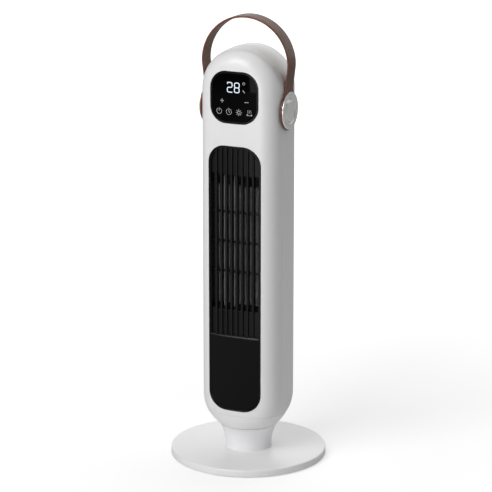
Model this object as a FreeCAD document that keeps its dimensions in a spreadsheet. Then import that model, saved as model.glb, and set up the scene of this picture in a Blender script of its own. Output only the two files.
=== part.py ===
"""Tower ceramic heater: a free-standing column on a round base, with a swinging head and a strap handle.

Frame: +Z up, origin on the floor at the centre of the round base, the outlet and the display face -Y.
Every size is in millimetres and comes from the spreadsheet called Sizes.
"""
import FreeCAD, Part
import math
import os
import re

import Sketcher
from FreeCAD import Placement, Rotation, Vector

SIZES = {
    # round base
    "base_radius": 120.0, "base_top": 12.1, "base_wall": 2.4, "base_edge": 1.6,
    "foot_height": 1.4, "foot_radius": 7.0, "foot_circle": 98.0, "feet": 6,
    "plate_top": 3.4, "plate_radius": 117.3, "core_hole": 20.0,
    "rim_screw_circle": 112.0, "rim_screws": 6,
    "weight_inner": 48.0, "weight_outer": 108.0, "weight_top": 7.6,
    "gland_width": 12.0, "gland_depth": 10.0, "gland_height": 7.6, "cord_hole": 3.5,
    "plunger_place": 78.0, "plunger_radius": 3.0, "plunger_travel": 2.0, "plunger_collar": 1.2,
    "switch_width": 20.0, "switch_depth": 16.0, "switch_well": 4.6,
    "bay_width": 34.0, "bay_depth": 30.0, "channel_width": 12.0, "channel_length": 70.0,
    # fixed neck
    "neck_foot": 36.2, "neck_mouth": 46.1, "neck_top": 51.0, "neck_bend": 18.0, "neck_curve": 60.0,
    "neck_wall": 2.6, "neck_plate": 48.0, "neck_screw_circle": 27.0,
    "post_radius": 13.0, "post_bore": 9.5, "post_top": 65.2, "post_flange": 24.0, "post_screw_circle": 19.0,
    # swing drive: module 1 gears, the large one fixed
    "gear_teeth": 40, "pinion_teeth": 16, "tooth_module": 1.0, "gear_low": 57.5, "gear_face": 6.0,
    "swing_can": 17.0, "swing_can_height": 14.0, "swing_ears": 44.0, "ear_width": 9.0, "ear_thick": 1.6,
    "ring_low": 51.0, "ring_inner": 30.0, "ring_outer": 42.0, "ring_height": 0.6,
    # column of the head
    "half_width": 64.0, "half_depth": 54.0, "front_curve": 220.0, "side_curve": 250.0, "corner_curve": 28.0,
    "bowl_low": 51.8, "bowl_high": 104.0, "bowl_foot": 46.7, "bowl_girth": 70.0, "bowl_power": 2.5,
    "cap_top": 73.8, "shell_low": 74.1, "dome_centre": 579.0, "shell_wall": 2.6, "cap_floor": 55.0,
    "seam_y": -15.0, "seam_gap": 0.2,
    # front insert
    "insert_width": 86.5, "insert_low": 82.6, "insert_high": 498.0, "insert_corner": 28.8,
    "insert_rim": 2.6,
    "rib_pitch": 8.7, "rib_width": 3.5, "rib_count": 8, "grille_low": 202.4,
    "open_low": 243.0, "open_high": 453.0, "bar_height": 3.0, "bar_low": 302.5, "bar_pitch": 46.3,
    "trim_low": 200.0, "trim_height": 2.2,
    # display
    "display_width": 79.0, "display_low": 532.2, "display_high": 610.8, "display_corner": 26.0,
    "display_rim": 3.4, "board_y": -42.0, "board_thick": 1.6, "board_width": 64.0, "board_height": 62.0,
    "digits_x": -2.0, "digits_width": 26.0, "digits_depth": 5.0, "digits_height": 17.0, "digits_low": 571.0,
    "receiver_x": 24.0, "receiver_low": 586.0, "buzzer_x": 18.0, "buzzer_z": 560.0, "touch_z": 556.0,
    # power board in the foot of the column, its relays and capacitor, the room sensor
    "power_y": 30.0, "power_low": 80.0, "power_side": 76.0,
    "relay_side": 15.0, "relay_height": 19.0, "relay_low": 128.0,
    "capacitor_x": 24.0, "capacitor_width": 18.0, "capacitor_depth": 11.0, "capacitor_height": 12.0,
    "capacitor_low": 100.0, "sensor_x": -36.0, "sensor_y": 38.0, "sensor_low": 180.0,
    # heater and blower bay
    "shelf_low": 203.0, "shelf_high": 470.0, "shelf_thick": 3.0, "shelf_half": 44.6,
    "shelf_front": -41.0, "shelf_back": 42.5,
    "fan_y": 16.0, "fan_radius": 21.0, "fan_low": 212.0, "fan_high": 464.0, "blade_count": 24,
    "shaft_radius": 2.5, "shaft_low": 174.0, "shaft_high": 472.0,
    "motor_radius": 24.0, "motor_low": 160.0, "motor_high": 200.0,
    "heater_front": -36.0, "heater_depth": 16.0, "heater_half": 42.0,
    "heater_low": 236.0, "heater_high": 456.0,
    "heater_rail": 5.0, "fin_columns": 5, "bar_width": 3.0, "fin_pitch": 5.0, "fin_thick": 0.5,
    # rear intake
    "intake_width": 88.0, "intake_low": 214.0, "intake_high": 456.0, "intake_corner": 12.0,
    "louvre_pitch": 9.0, "louvre_slot": 5.0,
    # joining screws of the two shells
    "tower_x": 50.0, "tower_radius": 5.0,
    # handle
    "pivot_z": 548.0, "stud_radius": 6.0, "disc_radius": 29.75, "cap_radius": 28.2,
    "strap_inside": 64.7, "strap_thick": 3.0, "strap_width": 27.0, "strap_flare": 16.0,
    "bow_centre": 616.0, "bow_inside": 69.0, "skin_thick": 0.8, "pivot_cap": 1.3,
    "boss_radius": 15.5, "ring_radius": 19.3, "ring_sunk": 0.6, "ridge_height": 1.8,
    # running clearance of shafts, and the gap between faces that touch
    "running": 0.06, "gap": 0.1,
}

# head radius, head height, shank radius and length of each kind of screw
RIM_SCREW = (2.6, 0.8, 1.3, 5.4)
NECK_SCREW = (3.0, 1.5, 1.45, 12)
POST_SCREW = (2.8, 1.6, 1.45, 6.4)

# corners of blocks that only reach past the front of the column: half width, far and near depth
BESIDE, AHEAD, INSIDE = 60, -80, -20
AROUND = 90

doc = FreeCAD.newDocument("tower_heater")
sheet = doc.addObject("Spreadsheet::Sheet", "Sizes")
for row, (name, value) in enumerate(SIZES.items(), start=1):
    sheet.set(f"A{row}", name)
    sheet.set(f"B{row}", str(value))
    sheet.setAlias(f"B{row}", name)
doc.recompute()

NODES = []


def size(name):
    """The spreadsheet's value for one alias."""
    return float(sheet.get(name))


def formula(text):
    """An expression in plain aliases, written the way the document's objects read it."""
    return re.sub(r"[a-z_]+", lambda word: f"Sizes.{word[0]}" if word[0] in SIZES else word[0], str(text))


def value_of(text):
    """The number that an expression in plain aliases stands for."""
    found = sheet.evalExpression(formula(text).replace("Sizes.", ""))
    return float(getattr(found, "Value", found))


def bind(target, prop, text):
    """Binds one property to the spreadsheet."""
    target.setExpression(prop, formula(text))


def keep(label, piece):
    """Names a finished sub-part; the name is also its file's."""
    piece.Label = label
    NODES.append(piece)
    return piece


# ---------------------------------------------------------------- primitives bound to the sheet

TURNS = {"Z": Rotation(), "X": Rotation(Vector(0, 1, 0), 90), "Y": Rotation(Vector(1, 0, 0), -90)}


def place(piece, x=0, y=0, z=0, turn=None):
    """Sets a piece's Placement: its turn, then its base bound to the sheet."""
    piece.Placement = Placement(Vector(), turn or Rotation())
    for axis, text in zip("xyz", (x, y, z)):
        bind(piece, f"Placement.Base.{axis}", text)
    return piece


def cylinder(radius, height, x=0, y=0, z=0, axis="Z"):
    """A solid cylinder that starts at the given point and runs along +axis."""
    piece = doc.addObject("Part::Cylinder", "Cylinder")
    bind(piece, "Radius", radius)
    bind(piece, "Height", height)
    return place(piece, x, y, z, TURNS[axis])


def cone(low, high, height, x=0, y=0, z=0, axis="Z"):
    """A truncated cone that starts at the given point and runs along +axis."""
    piece = doc.addObject("Part::Cone", "Cone")
    bind(piece, "Radius1", low)
    bind(piece, "Radius2", high)
    bind(piece, "Height", height)
    return place(piece, x, y, z, TURNS[axis])


def block(width, depth, height, x=0, y=0, z=0):
    """A box centred on x and y, standing on z."""
    piece = doc.addObject("Part::Box", "Box")
    bind(piece, "Length", width)
    bind(piece, "Width", depth)
    bind(piece, "Height", height)
    return place(piece, f"({x}) - ({width}) / 2", f"({y}) - ({depth}) / 2", z)


def group(pieces):
    """Separate solids held together as one object."""
    piece = doc.addObject("Part::Compound", "Group")
    piece.Links = pieces
    return piece


def fuse(*pieces):
    """One solid from several."""
    piece = doc.addObject("Part::MultiFuse", "Fusion")
    piece.Shapes = list(pieces)
    return piece


def cut(base, *tools):
    """The base without the tools."""
    piece = doc.addObject("Part::Cut", "Cut")
    piece.Base = base
    piece.Tool = tools[0] if len(tools) == 1 else group(list(tools))
    return piece


def common(first, second):
    """What two solids share."""
    piece = doc.addObject("Part::Common", "Common")
    piece.Base = first
    piece.Tool = second
    return piece


def tube(outer, inner, height, x=0, y=0, z=0, axis="Z"):
    """A ring or sleeve."""
    return cut(cylinder(outer, height, x, y, z, axis), cylinder(inner, height, x, y, z, axis))


def around(count, circle, start=0.0):
    """The x and y of points spaced evenly on a circle."""
    steps = int(size(count)) if isinstance(count, str) else count
    turns = [start + 360.0 * index / steps for index in range(steps)]
    return [(f"{circle} * cos({turn}deg)", f"{circle} * sin({turn}deg)") for turn in turns]


def solid(shape):
    """A sub-part whose shape is worked out here from the sheet's values."""
    piece = doc.addObject("Part::Feature", "Solid")
    piece.Shape = shape
    return piece


# ---------------------------------------------------------------- sketched bodies


def new_body():
    return doc.addObject("PartDesign::Body", "Body")


def origin_part(body, role):
    """One of a body's own origin planes or axes."""
    return next(item for item in body.Origin.OriginFeatures if item.Role == role)


def new_sketch(body, role, lift=None):
    """A sketch on one of the body's origin planes, lifted off it where a height is given."""
    sketch = body.newObject("Sketcher::SketchObject", "Sketch")
    sketch.AttachmentSupport = [(origin_part(body, role), "")]
    sketch.MapMode = "FlatFace"
    if lift is not None:
        bind(sketch, ".AttachmentOffset.Base.z", lift)
    return sketch


def pin(sketch, geometry, point, x, y):
    """Fixes one point of a sketch at a place bound to the sheet."""
    for kind, text in (("DistanceX", x), ("DistanceY", y)):
        if abs(value_of(text)) < 1e-9:
            line = -2 if kind == "DistanceX" else -1
            sketch.addConstraint(Sketcher.Constraint("PointOnObject", geometry, point, line))
            continue
        index = sketch.addConstraint(Sketcher.Constraint(kind, -1, 1, geometry, point, value_of(text)))
        bind(sketch, f"Constraints[{index}]", text)


def arc_edge(start, end, radius):
    """An arc between two points: a positive radius turns left on the way, a negative one turns right."""
    first, last = (start, end) if radius > 0 else (end, start)
    chord = last - first
    lift = math.sqrt(radius * radius - chord.Length ** 2 / 4)
    centre = (first + last) / 2 + Vector(-chord.y, chord.x) / chord.Length * lift
    angles = [math.atan2(point.y - centre.y, point.x - centre.x) for point in (first, last)]
    circle = Part.Circle(centre, Vector(0, 0, 1), abs(radius))
    return Part.ArcOfCircle(circle, *angles)


def outline(sketch, corners):
    """A closed outline. A corner is (x, y), or (x, y, radius) where an arc leaves it."""
    points = [Vector(value_of(corner[0]), value_of(corner[1])) for corner in corners]
    ends = []
    for index, corner in enumerate(corners):
        start, end = points[index], points[(index + 1) % len(points)]
        if len(corner) == 2:
            edge = sketch.addGeometry(Part.LineSegment(start, end))
            ends.append((edge, 1, 2))
            continue
        radius = value_of(corner[2])
        edge = sketch.addGeometry(arc_edge(start, end, radius))
        ends.append((edge, 1, 2) if radius > 0 else (edge, 2, 1))
        number = sketch.addConstraint(Sketcher.Constraint("Radius", edge, abs(radius)))
        bind(sketch, f"Constraints[{number}]", f"abs({corner[2]})")
    for index, (edge, start, end) in enumerate(ends):
        following = ends[(index + 1) % len(ends)]
        sketch.addConstraint(Sketcher.Constraint("Coincident", edge, end, following[0], following[1]))
        pin(sketch, edge, start, corners[index][0], corners[index][1])


def circle(sketch, x, y, radius):
    """A circle bound to the sheet."""
    centre = Vector(value_of(x), value_of(y))
    edge = sketch.addGeometry(Part.Circle(centre, Vector(0, 0, 1), value_of(radius)))
    pin(sketch, edge, 3, x, y)
    index = sketch.addConstraint(Sketcher.Constraint("Radius", edge, value_of(radius)))
    bind(sketch, f"Constraints[{index}]", radius)


def revolve(body, corners):
    """Turns an outline of radius and height about the body's own Z axis."""
    sketch = new_sketch(body, "XZ_Plane")
    outline(sketch, corners)
    feature = body.newObject("PartDesign::Revolution", "Revolution")
    feature.Profile = sketch
    feature.ReferenceAxis = (sketch, ["V_Axis"])
    feature.Angle = 360
    return feature


def turned(corners, x=0, y=0, z=0, axis="Z"):
    """A turned piece, as a body of its own."""
    body = new_body()
    revolve(body, corners)
    return place(body, x, y, z, TURNS[axis])


def pad(body, sketch, length):
    """Raises a sketch."""
    feature = body.newObject("PartDesign::Pad", "Pad")
    feature.Profile = sketch
    bind(feature, "Length", length)
    return feature


def drill(body, holes):
    """Cuts round holes, each (x, y, radius), right through the body along its Z axis."""
    sketch = new_sketch(body, "XY_Plane")
    for x, y, radius in holes:
        circle(sketch, x, y, radius)
    feature = body.newObject("PartDesign::Pocket", "Pocket")
    feature.Profile = sketch
    feature.Type = "ThroughAll"
    feature.Midplane = True
    return feature


def repeat(body, feature, count):
    """Repeats a feature evenly about the body's Z axis."""
    pattern = body.newObject("PartDesign::PolarPattern", "Pattern")
    pattern.Originals = [feature]
    pattern.Axis = (origin_part(body, "Z_Axis"), [""])
    pattern.Angle = 360
    bind(pattern, "Occurrences", count)
    body.Tip = pattern
    return pattern


def screws(head, head_height, shank, length, places, z, drop=False):
    """Screws in one node: the head sits on z, the shank runs up from it, or down where drop is set."""
    pieces = []
    for x, y in places:
        low = f"{z} - ({length})" if drop else f"{z} + {head_height}"
        pieces.append(fuse(cylinder(head, head_height, x, y, z), cylinder(shank, length, x, y, low)))
    return group(pieces)


def coils(radius, wire, low, high, turns):
    """A coil spring about the Z axis: its turns as rings, joined by the short rises between them."""
    step = (high - low - 2 * wire) / (turns - 1)
    heights = [low + wire + turn * step for turn in range(turns)]
    rings = [Part.makeTorus(radius, wire, Vector(0, 0, z)) for z in heights]
    rise = Part.makeCylinder(0.7 * wire, heights[-1] - heights[0], Vector(radius, 0, heights[0]))
    return rise.fuse(rings)


# ---------------------------------------------------------------- round base


def build_base():
    """Cover, bottom plate, ballast, feet, cord gland and the screws that close the base."""
    cover = new_body()
    revolve(cover, [
        ("core_hole", "base_top - base_wall"), ("base_radius - base_wall", "base_top - base_wall"),
        ("base_radius - base_wall", "foot_height"), ("base_radius", "foot_height"),
        ("base_radius", "base_top - base_edge", "base_edge"), ("base_radius - base_edge", "base_top"),
        ("core_hole", "base_top"),
    ])
    drill(cover, [(x, y, 1.6) for x, y in around(4, "neck_screw_circle", 45.0)])
    bosses = [tube(3.2, 1.35, "base_top - base_wall - plate_top", x, y, "plate_top")
              for x, y in around("rim_screws", "rim_screw_circle")]
    gland_middle = "base_radius - gland_depth / 2 + gap"
    notch = block("gland_width + 2 * gap", "gland_depth + 1", "gland_height + 3 * gap", 0, gland_middle,
                  "foot_height - gap")
    keep("base_cover", cut(fuse(cover, *bosses), notch))

    plate = new_body()
    sketch = new_sketch(plate, "XY_Plane", "foot_height")
    circle(sketch, 0, 0, "plate_radius")
    pad(plate, sketch, "plate_top - foot_height")
    drill(plate, [(0, 0, "core_hole"), (0, "-plunger_place", "plunger_radius + 0.3")])
    drill(plate, [(x, y, 1.35) for x, y in around("rim_screws", "rim_screw_circle")])
    sinks = [cylinder(2.8, 0.9, x, y, "foot_height") for x, y in around("rim_screws", "rim_screw_circle")]
    slot = block("gland_width + 2 * gap", "gland_depth + 1", "plate_top", 0, gland_middle, 0)
    keep("base_bottom_plate", cut(plate, slot, *sinks))

    weight = tube("weight_outer", "weight_inner", "weight_top - plate_top - gap", 0, 0, "plate_top + gap")
    bay = block("bay_width", "bay_depth", "weight_top", 0, "-plunger_place", "plate_top - 1")
    channel = block("channel_width", "channel_length", "weight_top", 0, "weight_inner + 25", "plate_top - 1")
    keep("base_weight", cut(weight, bay, channel))

    feet = [cone("foot_radius - 0.5", "foot_radius", "foot_height", x, y, 0)
            for x, y in around("feet", "foot_circle")]
    keep("rubber_feet", group(feet))
    keep("base_screws", screws(*RIM_SCREW, around("rim_screws", "rim_screw_circle"), "foot_height + 0.05"))

    gland = block("gland_width", "gland_depth - 0.6", "gland_height", 0,
                  "base_radius - gland_depth / 2 - 2 * gap", "foot_height + gap")
    bore = cylinder("cord_hole", "gland_depth + 4", 0, "base_radius - gland_depth - 2",
                    "foot_height + gland_height / 2", "Y")
    keep("cord_gland", cut(gland, bore))


def build_tip_switch():
    """The pin under the base that opens the mains when the heater is lifted or falls over."""
    room = "base_top - base_wall - plate_top - gap * 2"
    housing = block("switch_width", "switch_depth", room, 0, "-plunger_place", "plate_top + gap")
    well = cylinder("switch_well", "base_top", 0, "-plunger_place", 0)
    keep("tip_switch", cut(housing, well))
    collar = "plate_top + plunger_travel + 0.2"
    keep("tip_plunger", turned([
        (0, 0.05), ("plunger_radius - 1", 0.05), ("plunger_radius", 1), ("plunger_radius", collar),
        ("plunger_radius + plunger_collar", collar), ("plunger_radius + plunger_collar", f"{collar} + 0.8"),
        (0, f"{collar} + 0.8"),
    ], 0, "-plunger_place"))
    top = size("base_top") - size("base_wall") - 0.1
    low = size("plate_top") + size("plunger_travel") + 1.05
    spring = coils(2.6, 0.25, low, top, 4)
    spring.translate(Vector(0, -size("plunger_place"), 0))
    keep("tip_spring", solid(spring))


# ---------------------------------------------------------------- fixed neck and pivot


def build_neck():
    """Trumpet-shaped neck, its top plate, and the hollow post that the head turns on."""
    collar = new_body()
    revolve(collar, [
        ("post_radius + 0.3", "neck_plate"),
        ("neck_mouth - 4.4", "neck_plate", "neck_curve + neck_wall"),
        ("neck_foot - neck_wall", "neck_bend"), ("neck_foot - neck_wall", "base_top"),
        ("neck_foot", "base_top"), ("neck_foot", "neck_bend", "-neck_curve"),
        ("neck_mouth", "neck_top"), ("post_radius + 0.3", "neck_top"),
    ])
    drill(collar, [(x, y, 1.5) for x, y in around(3, "post_screw_circle", 90.0)])
    bosses = [tube(3.6, 1.5, 12, x, y, "base_top") for x, y in around(4, "neck_screw_circle", 45.0)]
    arms = [block(2.4, 2.4, 12, f"({x}) * 1.19", f"({y}) * 1.19", "base_top")
            for x, y in around(4, "neck_screw_circle", 45.0)]
    keep("neck_collar", fuse(collar, *bosses, *arms))
    places = around(4, "neck_screw_circle", 45.0)
    keep("neck_screws", screws(*NECK_SCREW, places, "base_top - base_wall - 1.55"))

    post = new_body()
    revolve(post, [
        ("post_bore", 40), ("post_radius", 40), ("post_radius", 44), ("post_flange", 44),
        ("post_flange", "neck_plate - gap"), ("post_radius", "neck_plate - gap"),
        ("post_radius", "post_top"), ("post_bore", "post_top"),
    ])
    drill(post, [(x, y, 1.6) for x, y in around(3, "post_screw_circle", 90.0)])
    keep("pivot_post", post)
    keep("post_screws", screws(*POST_SCREW, around(3, "post_screw_circle", 90.0), 42.3))
    keep("thrust_ring", tube("ring_outer", "ring_inner", "ring_height", 0, 0, "ring_low"))
    keep("retaining_ring", tube(16.5, "post_radius + 0.02", 1.4, 0, 0, "gear_low + gear_face + gap"))


def gear(teeth, bore, low, turn=0.0):
    """A spur gear with involute flanks, a 25 degree pressure angle and a little backlash."""
    module, face = size("tooth_module"), size("gear_face")
    pressure, backlash = math.radians(25.0), 0.16
    pitch_radius = module * teeth / 2
    base_circle = pitch_radius * math.cos(pressure)
    tip, root = pitch_radius + 0.9 * module, pitch_radius - 1.15 * module

    def involute(angle):
        return math.tan(angle) - angle

    half_pitch = math.pi / (2 * teeth) - backlash / (2 * pitch_radius)
    steps = 5
    start = max(base_circle, root)
    radii = [start + (tip - start) * step / steps for step in range(steps + 1)]
    flank = [(radius, half_pitch + involute(pressure) - involute(math.acos(base_circle / radius)))
             for radius in radii]
    if root < base_circle:
        flank.insert(0, (root, flank[0][1]))
    points = []
    for tooth in range(teeth):
        middle = math.radians(turn) + 2 * math.pi * tooth / teeth
        side = [(radius, middle - spread) for radius, spread in flank]
        other = [(radius, middle + spread) for radius, spread in reversed(flank)]
        points += [Vector(radius * math.cos(angle), radius * math.sin(angle), low)
                   for radius, angle in side + other]
    wire = Part.makePolygon(points + points[:1])
    body = Part.Face(wire).extrude(Vector(0, 0, face))
    return body.cut(Part.makeCylinder(bore, face, Vector(0, 0, low)))


def build_swing_drive():
    """Fixed gear on the post; pinion and its motor ride in the head and walk round it."""
    module, low = size("tooth_module"), size("gear_low")
    keep("swing_gear", solid(gear(int(size("gear_teeth")), size("post_radius") + 0.02, low)))
    distance = module * (size("gear_teeth") + size("pinion_teeth")) / 2
    pinion = gear(int(size("pinion_teeth")), 2.0, low, 90.0 + 180.0 / size("pinion_teeth"))
    stem = Part.makeCylinder(2.0, size("gear_face") + 5, Vector(0, 0, low))
    pinion = pinion.fuse(stem)
    pinion.translate(Vector(0, distance, 0))
    keep("swing_pinion", solid(pinion))
    spindle = "tooth_module * (gear_teeth + pinion_teeth) / 2"
    seat = "gear_low + gear_face + 2"
    can = fuse(cylinder("swing_can", "swing_can_height", 0, spindle, seat),
               block("swing_ears", "ear_width", "ear_thick", 0, spindle, seat))
    keep("swing_motor", cut(can, cylinder("2 + running", 9, 0, spindle, "gear_low + gear_face - 1")))
    keep("hub_bush", turned([
        ("post_radius + running", "bowl_low"), (17, "bowl_low"), (17, "cap_floor + gap"),
        (20, "cap_floor + gap"), (20, "gear_low - 0.6"), ("post_radius + running", "gear_low - 0.6"),
    ]))


# ---------------------------------------------------------------- form of the head


def corner_centre():
    """Centre of the corner arc that is tangent inside the front arc and the side arc."""
    front = Vector(0, size("front_curve") - size("half_depth"))
    side = Vector(size("half_width") - size("side_curve"), 0)
    reach_front = size("front_curve") - size("corner_curve")
    reach_side = size("side_curve") - size("corner_curve")
    across = side - front
    along = (reach_front ** 2 - reach_side ** 2 + across.Length ** 2) / (2 * across.Length)
    lift = math.sqrt(reach_front ** 2 - along ** 2)
    unit = across / across.Length
    return front, side, front + unit * along + Vector(-unit.y, unit.x) * lift


def quarter(offset):
    """Front middle, first tangent, corner middle, second tangent and side middle, in the +x -y quarter."""
    front, side, corner = corner_centre()
    front_way = (corner - front).normalize()
    side_way = (corner - side).normalize()
    middle_way = (front_way + side_way).normalize()
    half_way = (front_way + Vector(0, -1)).normalize()
    flat_way = (side_way + Vector(1, 0)).normalize()
    reach, curve = size("front_curve") + offset, size("corner_curve") + offset
    return [
        Vector(0, -size("half_depth") - offset), front + half_way * reach, front + front_way * reach,
        corner + middle_way * curve, side + side_way * (size("side_curve") + offset),
        side + flat_way * (size("side_curve") + offset), Vector(size("half_width") + offset, 0),
    ]


def ring_points(offset):
    """The whole section: quarters mirrored and joined, as the points of its twelve arcs."""
    points = quarter(offset)
    right = points + [Vector(point.x, -point.y) for point in reversed(points[:-1])]
    left = [Vector(-point.x, point.y) for point in reversed(right[1:-1])]
    return right + left


def bowl_points(z, offset):
    """The section where the head narrows to the round neck: part column, part circle."""
    low, high = size("bowl_low"), size("bowl_high")
    bulge = max(0.0, (high - z) / (high - low)) ** size("bowl_power")
    girth = size("bowl_girth")
    reach = girth - (girth - size("bowl_foot")) * bulge
    points = []
    for point in ring_points(0.0):
        column = point * (reach / girth)
        round_one = Vector(point.x / point.Length, point.y / point.Length) * reach
        mixed = column * (1 - bulge) + round_one * bulge
        points.append(mixed + point / point.Length * offset)
    return points


def arc_wire(points, z):
    """A closed wire of arcs, each through three points of the list."""
    raised = [Vector(point.x, point.y, z) for point in points]
    raised.append(raised[0])
    arcs = [Part.Arc(*raised[index:index + 3]).toShape() for index in range(0, len(raised) - 1, 2)]
    return Part.Wire(arcs)


FORMS = {}


def form(offset):
    """The head's outer form grown or shrunk by an offset: bowl, straight column and half-round top."""
    if offset in FORMS:
        return FORMS[offset]
    low, high, centre = size("bowl_low"), size("bowl_high"), size("dome_centre")
    column_wire = arc_wire(ring_points(offset), high)
    column = Part.Face(column_wire).extrude(Vector(0, 0, centre - high))
    half_box = Part.makeBox(200, 400, 1, Vector(0, -200, centre - 0.5))
    face = Part.Face(arc_wire(ring_points(offset), centre)).common(half_box).Faces[0]
    dome = face.revolve(Vector(0, 0, centre), Vector(0, -1, 0), 180)
    stations = [low + (high - low) * step / 5 for step in range(5)]
    wires = [arc_wire(bowl_points(z, offset), z) for z in stations] + [column_wire]
    bowl = Part.makeLoft(wires, True, False)
    FORMS[offset] = column.fuse([dome, bowl])
    return FORMS[offset]


def skin(outside, inside):
    """The wall between two offsets of the form."""
    return form(outside).cut(form(inside))


def slab(x0, x1, y0, y1, z0, z1):
    """A plain cutting box between two corners."""
    return Part.makeBox(x1 - x0, y1 - y0, z1 - z0, Vector(x0, y0, z0))


def window(width, low, high, corner, shrink=0.0, y0=-80.0, y1=-20.0):
    """A rounded rectangle seen from the front, run along Y between two depths."""
    half, radius = width / 2 - shrink, corner - shrink
    bottom, top = low + shrink, high - shrink
    box = slab(-half, half, y0, y1, bottom, top)
    edges = [edge for edge in box.Edges if abs(edge.Length - (y1 - y0)) < 1e-6]
    return box.makeFillet(radius, edges)


def insert_window(shrink):
    low, high = size("insert_low"), size("insert_high")
    return window(size("insert_width"), low, high, size("insert_corner"), shrink)


def display_window(shrink):
    low, high = size("display_low"), size("display_high")
    return window(size("display_width"), low, high, size("display_corner"), shrink)


def intake_window(shrink):
    low, high = size("intake_low"), size("intake_high")
    return window(size("intake_width"), low, high, size("intake_corner"), shrink, 30.0, 80.0)


def screw_lines():
    """x and z of the six screws that join the two shells."""
    return [(side * size("tower_x"), z) for z in (112.0, 330.0, 520.0) for side in (-1, 1)]


def build_shells():
    """Bottom cap, front shell with its two openings, rear shell with its intake and screw towers."""
    wall, low, seam, gap = size("shell_wall"), size("shell_low"), size("seam_y"), size("seam_gap")
    outer, inner = form(0.0), form(-wall)
    cap_room = slab(-AROUND, AROUND, -AROUND, AROUND, size("bowl_low"), size("cap_top"))
    hollow = inner.common(slab(-AROUND, AROUND, -AROUND, AROUND, size("cap_floor"), size("cap_top")))
    cap = outer.common(cap_room).cut(hollow)
    cap = cap.cut(Part.makeCylinder(17.02, 10, Vector(0, 0, size("bowl_low") - 2)))
    keep("bottom_cap", solid(cap))

    shell = outer.cut(inner)
    front = shell.common(slab(-AROUND, AROUND, -AROUND, seam - gap / 2, low, 700))
    front = front.cut(insert_window(-0.1)).cut(display_window(-0.1))
    inside = form(-1.0)
    rods = [Part.makeCylinder(4.0, 40, Vector(x, seam - gap / 2, z), Vector(0, -1, 0)).common(inside)
            for x, z in screw_lines()]
    holes = [Part.makeCylinder(1.65, 18, Vector(x, seam + 1, z), Vector(0, -1, 0))
             for x, z in screw_lines()]
    keep("front_shell", solid(front.fuse(rods).cut(holes)))

    rear = shell.common(slab(-AROUND, AROUND, seam + gap / 2, AROUND, low, 700)).cut(intake_window(-0.15))
    radius = size("tower_radius")
    towers = [Part.makeCylinder(radius, 80, Vector(x, seam + gap / 2, z), Vector(0, 1, 0)).common(inside)
              for x, z in screw_lines()]
    rear = rear.fuse(towers)
    for x, z in screw_lines():
        rear = rear.cut(Part.makeCylinder(1.8, 80, Vector(x, seam, z), Vector(0, 1, 0)))
        rear = rear.cut(Part.makeCylinder(3.3, 80, Vector(x, 17, z), Vector(0, 1, 0)))
    pivot = Vector(-AROUND, 0, size("pivot_z"))
    studs = Part.makeCylinder(size("stud_radius") + 0.1, 2 * AROUND, pivot, Vector(1, 0, 0))
    keep("rear_shell", solid(rear.cut(studs)))

    pieces = []
    for x, z in screw_lines():
        head = Part.makeCylinder(3.1, 2.4, Vector(x, 17.1, z), Vector(0, 1, 0))
        shank = Part.makeCylinder(1.6, 32, Vector(x, -14.9, z), Vector(0, 1, 0))
        pieces.append(head.fuse(shank))
    keep("shell_screws", solid(Part.makeCompound(pieces)))


def build_insert():
    """Rim of the long front opening, the ribbed outlet, the gloss panel under it and the strip between."""
    rim = size("insert_rim")
    keep("insert_frame", solid(skin(0.7, -7.0).common(insert_window(0.0)).cut(insert_window(rim))))

    field = insert_window(rim + 0.1)
    low, high = size("grille_low"), size("insert_high")
    count, pitch, half = int(size("rib_count")), size("rib_pitch"), size("rib_width") / 2
    middles = [(index - (count - 1) / 2) * pitch for index in range(count)]
    ribs = [slab(x - half, x + half, AHEAD, INSIDE, low, high) for x in middles]
    ribs = skin(-1.0, -9.0).common(Part.makeCompound(ribs))
    deep = skin(-4.0, -9.0)
    closed = [slab(-BESIDE, BESIDE, AHEAD, INSIDE, bottom, top)
              for bottom, top in ((low, size("open_low")), (size("open_high"), high))]
    bars = [slab(-BESIDE, BESIDE, AHEAD, INSIDE, z - size("bar_height") / 2, z + size("bar_height") / 2)
            for z in (size("bar_low") + step * size("bar_pitch") for step in range(3))]
    back = [deep.common(piece) for piece in closed]
    bars = [skin(-5.5, -9.0).common(piece) for piece in bars]
    edge = skin(-1.0, -9.0).common(insert_window(rim + 0.1).cut(insert_window(rim + 1.3)))
    edge = edge.common(slab(-BESIDE, BESIDE, AHEAD, INSIDE, low, high))
    grille = edge.fuse([ribs] + back + bars).common(field)
    keep("outlet_grille", solid(grille))

    trim_low, trim_high = size("trim_low"), size("trim_low") + size("trim_height")
    panel = skin(-0.6, -3.4).common(field).common(slab(-BESIDE, BESIDE, AHEAD, INSIDE, 0, trim_low - 0.1))
    keep("lower_panel", solid(panel))
    strip = skin(0.2, -3.4).common(field).common(slab(-BESIDE, BESIDE, AHEAD, INSIDE, trim_low, trim_high))
    keep("trim_strip", solid(strip))


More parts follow.
